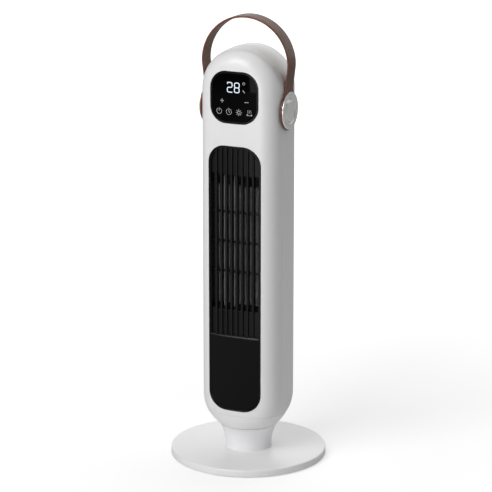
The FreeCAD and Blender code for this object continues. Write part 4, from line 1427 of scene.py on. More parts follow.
@dataclass(frozen=True)
class OutletSizes:
    """Sizes of the long front opening and its ribs."""

    width: float = 86.5 * MM
    low: float = 82.6 * MM
    high: float = 498.0 * MM
    corner: float = 28.8 * MM
    rim: float = 2.6 * MM
    grille_low: float = 202.4 * MM
    open_low: float = 243.0 * MM
    open_high: float = 453.0 * MM
    rib_count: int = 8
    rib_pitch: float = 8.7 * MM
    rib_width: float = 3.5 * MM
    rib_sink: float = 1.0 * MM
    rib_depth: float = 8.0 * MM
    bars: tuple[float, ...] = (302.5 * MM, 348.8 * MM, 395.1 * MM)
    bar_height: float = 3.0 * MM
    trim_low: float = 200.0 * MM
    trim_high: float = 202.2 * MM


class Outlet:
    """The rim, the ribbed outlet, the gloss panel under it and the bright strip between them."""

    def __init__(self, form: HeadForm, sizes: OutletSizes = OutletSizes()) -> None:
        """Keeps the form and the sizes.

        Args:
            form: The head's form.
            sizes: The piece's sizes.
        """
        self.form, self.sizes = form, sizes
        half = sizes.width / 2
        self.window = Outline(-half, half, sizes.low, sizes.high, sizes.corner, sizes.corner)

    def cut_outline(self, inset: float, low: float, high: float) -> Outline:
        """The opening drawn in by an inset and cut off between two heights.

        Args:
            inset: How far it is drawn in.
            low: The lower height.
            high: The upper height.

        Returns:
            The outline.
        """
        sizes = self.sizes
        half, small = sizes.width / 2 - inset, 0.6 * MM
        bottom, top = max(low, sizes.low + inset), min(high, sizes.high - inset)
        low_corner = sizes.corner - inset if low < sizes.low + inset else small
        high_corner = sizes.corner - inset if high > sizes.high - inset else small
        return Outline(-half, half, bottom, top, low_corner, high_corner)

    def rim(self) -> None:
        """The black rim: a rounded bead, a fine groove and a deep inner wall."""
        out, deep, width = 0.7 * MM, -7.0 * MM, self.sizes.rim
        bead = smooth_profile([(0.0, deep, 0), (0.0, out, 0.7 * MM), (width * 0.72, out, 0.5 * MM),
                               (width * 0.8, out - 0.55 * MM, 0.15 * MM), (width, out - 0.75 * MM, 0.25 * MM),
                               (width, deep, 0)], 4)
        rim = self.window.ring("visual_insert_frame", self.form, bead)
        ride(rim, Body.HEAD, "rim", "bezel_black", "insert_frame")

    def rib(self) -> bpy.types.Object:
        """One rib, a metre tall, with a rounded nose and sides that draw in towards the back.

        Returns:
            The rib.
        """
        sizes = self.sizes
        half, depth = sizes.rib_width / 2, sizes.rib_depth
        nose, back, narrow = 0.75 * MM, 0.2 * MM, half * 0.8
        profile = smooth_profile([(-half, 0.0, nose), (half, 0.0, nose), (narrow, depth, back),
                                  (-narrow, depth, back)], 4)
        loops = [[Vector((x, y, z)) for x, y in profile] for z in (0.0, 1.0)]
        return MeshMaker.bridge("rib", loops, ends=True)

    def grille(self) -> None:
        """Ribs, the fillers behind their ends, the cross bars and the edge ring."""
        sizes, form = self.sizes, self.form
        rib = self.rib()
        corner_gap = sizes.rim + 0.4 * MM
        values = {
            "Count": sizes.rib_count, "Pitch": sizes.rib_pitch, "Front": sizes.rib_sink - form.half_depth,
            "Curve": form.front_curve, "Low": sizes.grille_low + 0.1 * MM, "Top": sizes.high - corner_gap,
            "Corner Middle": sizes.width / 2 - sizes.corner, "Corner Radius": sizes.corner - corner_gap,
            "Piece": rib, "Material": PALETTE.get("grille"),
        }
        ribs = grown("ribs", Copies.ribs(), values, rib)
        inset = sizes.rim + 0.1 * MM
        fillers = []
        for low, high in ((sizes.grille_low, sizes.open_low), (sizes.open_high, sizes.high)):
            lid = self.cut_outline(inset, low, high)
            fillers.append(lid.lid("filler", form, -4.0 * MM, 5.0 * MM, 0.5 * MM))
        half = sizes.width / 2 - inset - 0.6 * MM
        for z in sizes.bars:
            rise, corner = sizes.bar_height / 2, 0.4 * MM
            bar = Outline(-half, half, z - rise, z + rise, corner, corner, 3)
            fillers.append(bar.lid("bar", form, -5.5 * MM, 3.5 * MM, 0.5 * MM))
        edge = self.cut_outline(inset, sizes.grille_low, sizes.high)
        deep, face, wide = -9.0 * MM, -1.0 * MM, 1.2 * MM
        lip = smooth_profile([(0.0, deep, 0), (0.0, face, 0.2 * MM), (wide, face, 0.4 * MM),
                              (wide, deep, 0)], 3)
        grille = MeshMaker.join("visual_outlet_grille", [ribs, edge.ring("edge", form, lip), *fillers])
        ride(grille, Body.HEAD, "grille", "black_satin", "outlet_grille")

    def panel(self) -> None:
        """The gloss panel and the bright strip over it."""
        sizes, form, inset = self.sizes, self.form, self.sizes.rim + 0.1 * MM
        low = self.cut_outline(inset, 0.0, sizes.trim_low - 0.15 * MM)
        panel = low.lid("visual_lower_panel", form, -0.6 * MM, 2.8 * MM, 0.6 * MM)
        ride(panel, Body.HEAD, "panel", "black_gloss", "lower_panel")
        strip = self.cut_outline(inset + 0.05 * MM, sizes.trim_low, sizes.trim_high)
        trim = strip.lid("visual_trim_strip", form, 0.2 * MM, 3.4 * MM, 0.5 * MM)
        ride(trim, Body.HEAD, "trim", "trim_silver", "trim_strip")

    def build(self) -> None:
        """Builds every piece of the outlet."""
        self.rim()
        self.grille()
        self.panel()


@dataclass(frozen=True)
class FinSizes:
    """Sizes of the fins as drawn: closer together than the node's, and stopping short of its two ends."""

    columns: int = 5
    column_pitch: float = 15.4 * MM
    width: float = 12.4 * MM
    rise: float = 2.1 * MM
    sheet: float = 0.4 * MM
    seen_low: float = 250.0 * MM
    seen_top: float = 434.0 * MM
    depth: float = 15.6 * MM


class HeatingCore:
    """The fins that show between the ribs, as thin bent sheets repeated over a grid."""

    def __init__(self, sizes: FinSizes = FinSizes()) -> None:
        """Keeps the sizes."""
        self.sizes = sizes

    def sheet(self) -> bpy.types.Object:
        """One louvred fin: a thin sheet with a crest, its ends turned up to the bars.

        Returns:
            The fin.
        """
        sizes = self.sizes
        half, thick, rise = sizes.width / 2 - 0.1 * MM, sizes.sheet, sizes.rise
        left = [(-half, rise * 0.75), (0.35 * MM - half, rise * 0.2), (1.0 * MM - half, 0.0)]
        top = left + [(-x, z) for x, z in reversed(left)]
        profile = top + [(x, z - thick) for x, z in reversed(top)]
        loops = [[Vector((x, y, z)) for x, z in profile] for y in (0.0, sizes.depth)]
        return MeshMaker.bridge("fin", loops, ends=True)

    def build(self) -> None:
        """Builds the field of fins."""
        sizes = self.sizes
        low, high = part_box("heater_fins")
        fin = self.sheet()
        foot, head = max(low.z + 0.4 * MM, sizes.seen_low), min(high.z, sizes.seen_top)
        rows = int((head - foot) / sizes.rise)
        values = {
            "Columns": sizes.columns, "Rows": rows,
            "Start": (-(sizes.columns - 1) / 2 * sizes.column_pitch, low.y + 0.1 * MM, foot),
            "Across": (sizes.column_pitch, 0.0, 0.0), "Up": (0.0, 0.0, sizes.rise),
            "Piece": fin, "Material": PALETTE.get("fin"),
        }
        fins = grown("visual_heater_fins", Copies.grid(), values, fin)
        ride(fins, Body.HEAD, "fin", "fin_aluminium", "heater_fins")


# ------------------------------------------------------------------------------------------- display


@dataclass(frozen=True)
class DisplaySizes:
    """Sizes of the display and its marks."""

    width: float = 79.0 * MM
    low: float = 532.2 * MM
    high: float = 610.8 * MM
    corner: float = 26.0 * MM
    rim: float = 3.4 * MM
    lens_sink: float = 0.7 * MM
    digit_width: float = 7.7 * MM
    digit_height: float = 14.4 * MM
    digit_stroke: float = 1.35 * MM
    digit_turn: float = 2.4 * MM
    icon_row: float = 550.0 * MM
    sign_row: float = 566.0 * MM


class Display:
    """Round-cornered touch display: rim, lens, digits and symbols."""

    def __init__(self, form: HeadForm, sizes: DisplaySizes = DisplaySizes()) -> None:
        """Keeps the form and the sizes.

        Args:
            form: The head's form.
            sizes: The piece's sizes.
        """
        self.form, self.sizes = form, sizes
        half = sizes.width / 2
        self.window = Outline(-half, half, sizes.low, sizes.high, sizes.corner, sizes.corner)
        self.marks: dict[str, list[bpy.types.Object]] = {"digit": [], "icon": [], "dim": []}

    def rim(self) -> None:
        """The bezel: a rounded bead with a fine step down to the lens."""
        out, deep, width = 0.3 * MM, -6.0 * MM, self.sizes.rim
        bead = smooth_profile([(0.0, deep, 0), (0.0, out, 0.6 * MM),
                               (width * 0.9, out - 0.1 * MM, 0.35 * MM), (width * 0.97, -0.8 * MM, 0.1 * MM),
                               (width, -1.1 * MM, 0), (width, deep, 0)], 4)
        bezel = self.window.ring("visual_display_bezel", self.form, bead)
        ride(bezel, Body.HEAD, "rim", "bezel_black", "display_bezel")

    def lens(self) -> None:
        """The dark lens."""
        sizes, inset = self.sizes, self.sizes.rim + 0.1 * MM
        half, corner = self.window.right - inset, sizes.corner - inset
        edge = Outline(-half, half, sizes.low + inset, sizes.high - inset, corner, corner)
        lens = edge.lid("visual_display_lens", self.form, -sizes.lens_sink, 2.5 * MM, 0.4 * MM)
        ride(lens, Body.HEAD, "lens", "black_gloss", "display_lens")

    def stroke(self, path: Sequence[Point], width: float, kind: str, closed: bool = False) -> None:
        """Lays a stroke with round ends on the lens.

        Args:
            path: Its middle line, (x, z).
            width: Its width.
            kind: Which light it belongs to.
            closed: Whether the line returns to its start.
        """
        points = [Vector(point) for point in path]
        half = width / 2
        left, right = [], []
        count = len(points)
        for index, point in enumerate(points):
            before = points[index - 1] if closed or index else point
            after = points[(index + 1) % count] if closed or index < count - 1 else point
            way = (after - before).normalized()
            side = Vector((-way.y, way.x))
            bend = 1.0
            if before != point and after != point:
                came = (point - before).normalized()
                bend = min(1.6, 1.0 / max(0.4, side.dot(Vector((-came.y, came.x)))))
            left.append(point + side * half * bend)
            right.append(point - side * half * bend)
        if not closed:
            for ends, end, other in ((0, points[0], points[1]), (-1, points[-1], points[-2])):
                way = (end - other).normalized()
                bends = (math.radians(40), math.radians(75))
                cap = [end + way * half * math.sin(turn) for turn in bends]
                sides = [Vector((-way.y, way.x)) * half * math.cos(turn) for turn in bends]
                flip = -1 if ends == 0 else 1
                new_left = [cap[i] + sides[i] * flip for i in range(2)]
                new_right = [cap[i] - sides[i] * flip for i in range(2)]
                if ends == 0:
                    left, right = list(reversed(new_left)) + left, list(reversed(new_right)) + right
                else:
                    left, right = left + new_left, right + new_right
        self.ribbon(left, right, kind, closed)

    def ribbon(self, left: Sequence[Vector], right: Sequence[Vector], kind: str, closed: bool) -> None:
        """Makes a thin closed ribbon between two edges, just over the lens.

        Args:
            left: One edge.
            right: The other edge.
            kind: Which light it belongs to.
            closed: Whether it returns to its start.
        """
        lift, thick = 0.05 * MM - self.sizes.lens_sink, 0.04 * MM

        def laid(point: Vector, offset: float) -> Vector:
            """A point of the ribbon on the head's front, raised by an offset."""
            return Vector((point.x, self.form.depth(point.x, point.y) - offset, point.y))

        loops = [[laid(a, lift), laid(b, lift), laid(b, lift - thick), laid(a, lift - thick)]
                 for a, b in zip(left, right)]
        self.marks[kind].append(MeshMaker.bridge("mark", loops, along=closed, ends=not closed))

    def arc(self, x: float, z: float, radius: float, start: float, end: float, steps: int = 20,
            ) -> list[Point]:
        """Points on an arc, in degrees anticlockwise from the right."""
        turns = [math.radians(start + (end - start) * step / steps) for step in range(steps + 1)]
        return [(x + radius * math.cos(turn), z + radius * math.sin(turn)) for turn in turns]

    def digit(self, sign: str, x: float, z: float) -> None:
        """One digit of rounded strokes: a two as one bent line, an eight as two rings that share a bar.

        Args:
            sign: Which digit, 2 or 8.
            x: Its middle, across.
            z: Its middle, in height.
        """
        sizes = self.sizes
        wide, tall, turn = sizes.digit_width / 2, sizes.digit_height / 2, sizes.digit_turn
        if sign == "2":
            corners = [(-wide, tall * 0.72), (-wide, tall), (wide, tall), (wide, 0.0), (-wide, 0.0),
                       (-wide, -tall), (wide, -tall)]
            path = corners[:1]
            for index in range(1, len(corners) - 1):
                path += rounded(corners[index], corners[index - 1], corners[index + 1], turn, 5)
            path.append(corners[-1])
            self.stroke([(x + px, z + pz) for px, pz in path], sizes.digit_stroke, "digit")
            return
        for low, high in ((0.0, tall), (-tall, 0.0)):
            ring = smooth_profile([(-wide, low, turn), (wide, low, turn), (wide, high, turn),
                                   (-wide, high, turn)])
            self.stroke([(x + px, z + pz) for px, pz in ring], sizes.digit_stroke, "digit", closed=True)

    def power(self, x: float, z: float) -> None:
        """Power symbol."""
        self.stroke(self.arc(x, z - 0.2 * MM, 4.2 * MM, 118, 422), 0.6 * MM, "icon")
        self.stroke([(x, z + 0.2 * MM), (x, z + 4.6 * MM)], 0.7 * MM, "icon")

    def clock(self, x: float, z: float) -> None:
        """Timer symbol: a clock with an open ring, an arrowhead and two hands.

        Args:
            x: Its middle, across.
            z: Its middle, in height.
        """
        self.stroke(self.arc(x, z, 4.3 * MM, 120, 440), 0.55 * MM, "icon")
        tip_x, tip_z = x + 0.7 * MM, z + 4.25 * MM
        head = [(tip_x - 1.4 * MM, tip_z + 1.1 * MM), (tip_x, tip_z), (tip_x - 1.2 * MM, tip_z - 1.2 * MM)]
        self.stroke(head, 0.55 * MM, "icon")
        self.stroke([(x, z + 2.4 * MM), (x, z), (x + 1.9 * MM, z - 0.9 * MM)], 0.6 * MM, "icon")

    def sun(self, x: float, z: float) -> None:
        """Heat symbol: a ring with eight rays.

        Args:
            x: Its middle, across.
            z: Its middle, in height.
        """
        self.stroke(self.arc(x, z, 2.1 * MM, 0, 345, 22), 0.65 * MM, "icon", closed=True)
        for step in range(8):
            turn = math.radians(45 * step)
            way = Vector((math.cos(turn), math.sin(turn)))
            self.stroke([tuple(Vector((x, z)) + way * reach * MM) for reach in (3.3, 4.7)], 0.65 * MM, "icon")

    def swing(self, x: float, z: float) -> None:
        """Swing symbol: three waves of heat over an arc with an arrowhead at each end.

        Args:
            x: Its middle, across.
            z: Its middle, in height.
        """
        for shift in (-2.4, 0.0, 2.4):
            wave = [(x + (shift + 0.35 * math.sin(2 * math.pi * share)) * MM, z + (4.8 * share - 0.4) * MM)
                    for share in (step / 12 for step in range(13))]
            self.stroke(wave, 0.45 * MM, "icon")
        arc = self.arc(x, z + 3.4 * MM, 7.0 * MM, 236, 304)
        self.stroke(arc, 0.6 * MM, "icon")
        for end, side in ((arc[0], -1), (arc[-1], 1)):
            self.stroke([(end[0] - side * 1.7 * MM, end[1] + 0.5 * MM), (end[0] + side * 0.2 * MM, end[1]),
                         (end[0] - side * 0.6 * MM, end[1] - 1.6 * MM)], 0.55 * MM, "icon")

    def sign(self, x: float, plus: bool) -> None:
        """A plus or a minus.

        Args:
            x: Its middle, across.
            plus: Whether it is a plus.
        """
        z, half = self.sizes.sign_row, 2.9 * MM
        self.stroke([(x - half, z), (x + half, z)], 0.75 * MM, "icon")
        if plus:
            self.stroke([(x, z - half), (x, z + half)], 0.75 * MM, "icon")

    def build(self) -> None:
        """Builds the rim, the lens and every mark."""
        self.rim()
        self.lens()
        middle = 587.0 * MM
        self.digit("2", -6.2 * MM, middle)
        self.digit("8", 5.4 * MM, middle)
        self.stroke(self.arc(16.3 * MM, 593.8 * MM, 1.7 * MM, 0, 340, 18), 0.7 * MM, "dim", closed=True)
        self.stroke([(15.2 * MM, 583.5 * MM), (17.8 * MM, 580.3 * MM)], 1.0 * MM, "icon")
        self.sign(-19.0 * MM, True)
        self.sign(21.0 * MM, False)
        row = self.sizes.icon_row
        self.power(-24.0 * MM, row)
        self.clock(-7.6 * MM, row)
        self.sun(8.7 * MM, row)
        self.swing(25.4 * MM, row)
        for kind, pieces in self.marks.items():
            mark = MeshMaker.join(f"visual_{kind}_marks", pieces)
            ride(mark, Body.HEAD, kind, "digits")


# ------------------------------------------------------------------------------------------- rear intake


@dataclass(frozen=True)
class IntakeSizes:
    """Sizes of the filter cover and its louvres."""

    width: float = 88.0 * MM
    low: float = 214.0 * MM
    high: float = 456.0 * MM
    corner: float = 12.0 * MM
    pitch: float = 9.0 * MM
    slot: float = 5.0 * MM
    margin: float = 8.0 * MM
    side: float = 6.0 * MM
    middle: float = 4.0 * MM
    depth: float = 4.5 * MM
    grip_width: float = 26.0 * MM


class FilterCover:
    """The pull-off louvred cover over the intake."""

    def __init__(self, form: HeadForm, sizes: IntakeSizes = IntakeSizes()) -> None:
        """Keeps the form and the sizes.

        Args:
            form: The head's form.
            sizes: The piece's sizes.
        """
        self.form, self.sizes = form, sizes
        half = sizes.width / 2
        self.window = Outline(-half, half, sizes.low, sizes.high, sizes.corner, sizes.corner)

    def louvre(self, half: float) -> bpy.types.Object:
        """One slanting blade that follows the back's curve across the cover.

        Args:
            half: Half of the blade's length.

        Returns:
            The blade.
        """
        profile = smooth_profile([(0.0, 0.0, 0.5 * MM), (-4.2 * MM, -2.6 * MM, 0.4 * MM),
                                  (-4.2 * MM, -4.4 * MM, 0.4 * MM), (0.0, -1.8 * MM, 0.5 * MM)], 3)
        loops = []
        for step in range(25):
            x = half * (2 * step / 24 - 1)
            back = -self.form.section_depth(abs(x)) - 0.15 * MM
            loops.append([Vector((x, back + y, z)) for y, z in profile])
        return MeshMaker.bridge("louvre", loops, ends=True)

    def build(self) -> None:
        """Builds the frame of the cover, its spine, its louvres and its finger grip."""
        sizes, form = self.sizes, self.form
        count = int((sizes.high - sizes.low - 2 * sizes.margin) / sizes.pitch)
        start = sizes.low + sizes.margin + 2 * MM
        lid = self.window.lid("cover", form, 0.0, sizes.depth, 0.5 * MM, -1.0)
        high = start + (count - 1) * sizes.pitch + sizes.slot
        half = sizes.width / 2 - sizes.side
        opening = Outline(-half, half, start, high, 2 * MM, 2 * MM, 4)
        MeshMaker.carve(lid, [opening.cutter("open", 30 * MM, 80 * MM)])
        blade = self.louvre(half + 0.8 * MM)
        values = {"Count": count + 1, "Start": (0.0, 0.0, start + 1.4 * MM), "Step": (0.0, 0.0, sizes.pitch),
                  "Piece": blade, "Material": PALETTE.get("shell")}
        blades = grown("louvres", Copies.line(), values, blade)
        spine = MeshMaker.box("spine", Vector((-sizes.middle / 2, 0, start - 1 * MM)),
                              Vector((sizes.middle / 2, 0, high + 1 * MM)))
        for vertex in spine.data.vertices:
            vertex.co.y = form.half_depth - (0.3 * MM if vertex.index in (2, 3, 6, 7) else sizes.depth)
        spine = MeshMaker.soften(spine, 0.3 * MM)
        reach, low, round_end = sizes.grip_width / 2, sizes.low, 2.05 * MM
        grip = Outline(-reach, reach, low + 2.2 * MM, low + 6.4 * MM, round_end, round_end, 6)
        MeshMaker.carve(lid, [grip.cutter("grip", form.half_depth - 2.2 * MM, 80 * MM)])
        cover = MeshMaker.join("visual_filter_cover", [lid, blades, spine])
        ride(cover, Body.FILTER, "shell", "white_shell", "filter_cover")


# ------------------------------------------------------------------------------------------- handle


@dataclass(frozen=True)
class StrapSizes:
    """Sizes of the leather strap and of the caps over its ends."""

    pivot: float = 548.0 * MM
    inside: float = 64.7 * MM
    thick: float = 3.0 * MM
    half_width: float = 13.5 * MM
    disc: float = 29.75 * MM
    flare: float = 16.0 * MM
    lean: float = 581.75 * MM
    bow_centre: float = 616.0 * MM
    bow_inside: float = 69.0 * MM
    skin: float = 0.85 * MM
    cap_radius: float = 28.2 * MM
    cap_thick: float = 1.3 * MM
    ring_radius: float = 19.3 * MM
    ring_sunk: float = 1.0 * MM
    boss_radius: float = 15.5 * MM
    ridge: float = 3.2 * MM
    ridge_round: float = 0.5 * MM


class Handle:
    """The leather strap, layered over a stiff core, and the two pivot caps."""

    def __init__(self, sizes: StrapSizes = StrapSizes()) -> None:
        """Keeps the sizes and lays out the strap's middle line.

        Args:
            sizes: The strap's sizes.
        """
        self.sizes = sizes
        self.line = self.middle_line()
        self.reach = [0.0]
        for before, after in zip(self.line, self.line[1:]):
            self.reach.append(self.reach[-1] + (after - before).length)

    def middle_line(self) -> list[Vector]:
        """Dense points of the strap's inner face seen from the front, smoothed where it bends.

        Returns:
            The points.
        """
        sizes = self.sizes
        low = sizes.pivot - sizes.disc
        stops = [Vector((sizes.inside, low)), Vector((sizes.inside, sizes.lean)),
                 Vector((sizes.bow_inside, sizes.bow_centre))]
        right = []
        for start, end in zip(stops, stops[1:]):
            steps = max(2, round((end - start).length / MM))
            right += [start + (end - start) * step / steps for step in range(steps)]
        steps = round(math.pi * sizes.bow_inside / MM)
        bow = [Vector((sizes.bow_inside * math.cos(math.pi * step / steps),
                       sizes.bow_centre + sizes.bow_inside * math.sin(math.pi * step / steps)))
               for step in range(steps + 1)]
        raw = right + bow + [Vector((-point.x, point.y)) for point in reversed(right)]
        for _ in range(2):
            smooth = list(raw)
            for index in range(3, len(raw) - 3):
                smooth[index] = sum(raw[index - 3:index + 4], Vector((0.0, 0.0))) / 7
            raw = smooth
        return raw

    def spot(self, reach: float) -> tuple[Vector, Vector]:
        """Point and outward normal of the inner face at a distance along the strap.

        Args:
            reach: The distance.

        Returns:
            The point and the normal.
        """
        total = self.reach[-1]
        clipped = min(max(reach, 0.0), total)
        index = min(int(clipped / total * (len(self.reach) - 1)), len(self.reach) - 2)
        while index > 0 and self.reach[index] > clipped:
            index -= 1
        while index < len(self.reach) - 2 and self.reach[index + 1] < clipped:
            index += 1
        span = self.reach[index + 1] - self.reach[index]
        share = (reach - self.reach[index]) / span
        point = self.line[index].lerp(self.line[index + 1], min(max(share, 0.0), 1.0))
        way = (self.line[index + 1] - self.line[index]).normalized()
        if share < 0 or share > 1:
            point += way * (reach - clipped)
        before = self.line[max(index - 2, 0)]
        after = self.line[min(index + 3, len(self.line) - 1)]
        tangent = (after - before).normalized()
        return point, Vector((tangent.y, -tangent.x))

    def outline(self) -> list[tuple[Vector, Vector]]:
        """Half of the strap's flat outline as (distance, half width) with outward normals.

        Returns:
            The points and their normals.
        """
        sizes = self.sizes
        total = self.reach[-1]
        disc, flare, half = sizes.disc, sizes.flare, sizes.half_width
        rise = math.sqrt((disc + flare) ** 2 - (half + flare) ** 2)
        meet = math.atan2(half + flare, rise)
        found = []
        for step in range(29):
            turn = math.pi - (math.pi - meet) * step / 28
            normal = Vector((math.cos(turn), math.sin(turn)))
            found.append((Vector((disc, 0.0)) + normal * disc, normal))
        for step in range(1, 13):
            turn = meet + (math.pi / 2 - meet) * step / 12
            normal = Vector((math.cos(turn), math.sin(turn)))
            found.append((Vector((disc + rise, half + flare)) - normal * flare, normal))
        first = disc + rise
        band = 110
        for step in range(1, band):
            found.append((Vector((first + (total - 2 * first) * step / band, half)), Vector((0.0, 1.0))))
        mirrored = [(Vector((total - spot.x, spot.y)), Vector((-normal.x, normal.y)))
                    for spot, normal in reversed(found[:41])]
        return found + mirrored

    def layer(self, name: str, low: float, high: float, inset: float, edge: float) -> bpy.types.Object:
        """One layer of the strap with rounded edges.

        Args:
            name: The object's name.
            low: Where it starts through the thickness.
            high: Where it ends.
            inset: How far its outline is drawn in.
            edge: The radius of its edges.

        Returns:
            The layer.
        """
        turns = sweep(90, 4)[::-1]
        rounding = [(inset + edge * (1 - math.cos(turn)), high - edge * (1 - math.sin(turn)))
                    for turn in turns]
        lower = [(a, low + high - b) for a, b in reversed(rounding)]
        side = rounding + lower
        crown = 0.12 * MM
        shares = (0.0, 0.35, 0.7, 0.9)
        loops = []
        for spot, normal in self.outline():
            half = []
            first = spot - normal * side[0][0]
            for share in shares:
                half.append((first.x, first.y * share, high + crown * (1 - share ** 2) * (high > low + edge)))
            edges = [(spot - normal * depth, offset) for depth, offset in side]
            half += [(point.x, max(point.y, 0.0), offset) for point, offset in edges]
            last = spot - normal * side[-1][0]
            for share in reversed(shares):
                half.append((last.x, last.y * share, low))
            whole = half + [(reach, -y, offset) for reach, y, offset in reversed(half[1:-1])]
            loop = []
            for reach, y, offset in whole:
                point, way = self.spot(reach)
                place = point + way * offset
                loop.append(Vector((place.x, y, place.y)))
            loops.append(loop)
        return MeshMaker.bridge(name, loops, ends=True)

    def pivot_cap(self, name: str, side: int) -> bpy.types.Object:
        """A cap as a height field over a disc: flat rim, sunk ring, and a roofed boss.

        Args:
            name: The object's name.
            side: 1 on the right, -1 on the left.

        Returns:
            The cap.
        """
        sizes = self.sizes
        start = sizes.inside + sizes.thick + 0.02 * MM
        face, root = start + sizes.cap_thick, start + sizes.cap_thick - sizes.ring_sunk
        edge = 0.45 * MM
        rings: list[tuple[float, Callable[[float], float]]] = []

        def roof(radius: float, drop: float = 0.0) -> Callable[[float], float]:
            """Height of the roof over a circle of a radius.

            Args:
                radius: The circle's radius.
                drop: How far it is lowered.

            Returns:
                The height as a function of the angle.
            """
            def height(turn: float) -> float:
                """Height at one angle of the circle.

                Args:
                    turn: The angle.

                Returns:
                    The height.
                """
                across = math.hypot(radius * math.sin(turn), sizes.ridge_round)
                slope = (sizes.ridge + sizes.ring_sunk - 0.5 * MM) / sizes.boss_radius
                return max(root + 0.5 * MM + slope * (sizes.boss_radius - across) - drop, root + 0.05 * MM)
            return height

        rings.append((0.0, roof(0.0)))
        rings += [(sizes.boss_radius * share, roof(sizes.boss_radius * share)) for share in
                  (0.06, 0.12, 0.2, 0.3, 0.42, 0.55, 0.7, 0.85)]
        for turn in (0, 30, 60, 90):
            radius = sizes.boss_radius - edge * (1 - math.sin(math.radians(turn)))
            rings.append((radius, roof(radius, edge * (1 - math.cos(math.radians(turn))))))
        rings.append((sizes.boss_radius + 0.05 * MM, lambda _: root))
        rings.append((sizes.ring_radius - 0.1 * MM, lambda _: root))
        for turn in (0, 45, 90):
            radius = sizes.ring_radius + 0.3 * MM * (1 - math.cos(math.radians(turn)))
            rise = face - 0.3 * MM * (1 - math.sin(math.radians(turn)))
            rings.append((radius, lambda _, rise=rise: rise))
        for turn in (90, 60, 30, 0):
            radius = sizes.cap_radius - edge * (1 - math.cos(math.radians(turn)))
            rise = face - edge * (1 - math.sin(math.radians(turn)))
            rings.append((radius, lambda _, rise=rise: rise))
        rings.append((sizes.cap_radius, lambda _: start))
        rings.append((0.0, lambda _: start))
        steps = 128
        loops = []
        for radius, height in rings:
            loop = []
            for step in range(steps):
                turn = 2 * math.pi * step / steps
                loop.append(Vector((side * height(turn), radius * math.sin(turn),
                                    sizes.pivot + radius * math.cos(turn))))
            loops.append(loop)
        return MeshMaker.bridge(name, loops)

    def build(self) -> None:
        """Builds the three layers and the two caps."""
        sizes = self.sizes
        skin, thick = sizes.skin, sizes.thick
        core = self.layer("visual_strap_core", skin * 0.55, thick - skin * 0.55, 0.0, 0.75 * MM)
        ride(core, Body.HANDLE, "edge", "leather_edge", "strap_core", crease=50)
        for word, low, high in (("outer", thick - skin, thick), ("inner", 0.0, skin)):
            layer = self.layer(f"visual_strap_{word}_skin", low, high, 0.75 * MM, 0.4 * MM)
            ride(layer, Body.HANDLE, "leather", "leather_taupe", f"strap_{word}_skin", crease=60)
        for side, word in ((1, "right"), (-1, "left")):
            ride(self.pivot_cap(f"visual_pivot_cap_{word}", side), Body.HANDLE, "cap", "pivot_white",
                 f"pivot_cap_{word}", crease=28)


# ------------------------------------------------------------------------------------------- base


@dataclass(frozen=True)
class BaseSizes:
    """Sizes of the round base and the neck."""

    radius: float = 120.0 * MM
    top: float = 12.1 * MM
    low: float = 1.4 * MM
    wall: float = 2.4 * MM
    edge: float = 1.8 * MM
    hole: float = 20.0 * MM
    neck_foot: float = 36.2 * MM
    neck_bend: float = 18.0 * MM
    neck_curve: float = 60.0 * MM
    neck_mouth: float = 46.1 * MM
    neck_top: float = 51.0 * MM
    neck_wall: float = 2.6 * MM
    post_hole: float = 13.3 * MM
    feet: int = 6
    foot_radius: float = 7.0 * MM
    foot_circle: float = 98.0 * MM
    gland_width: float = 12.0 * MM
    gland_depth: float = 10.0 * MM
    gland_height: float = 7.6 * MM
    cord_hole: float = 3.5 * MM


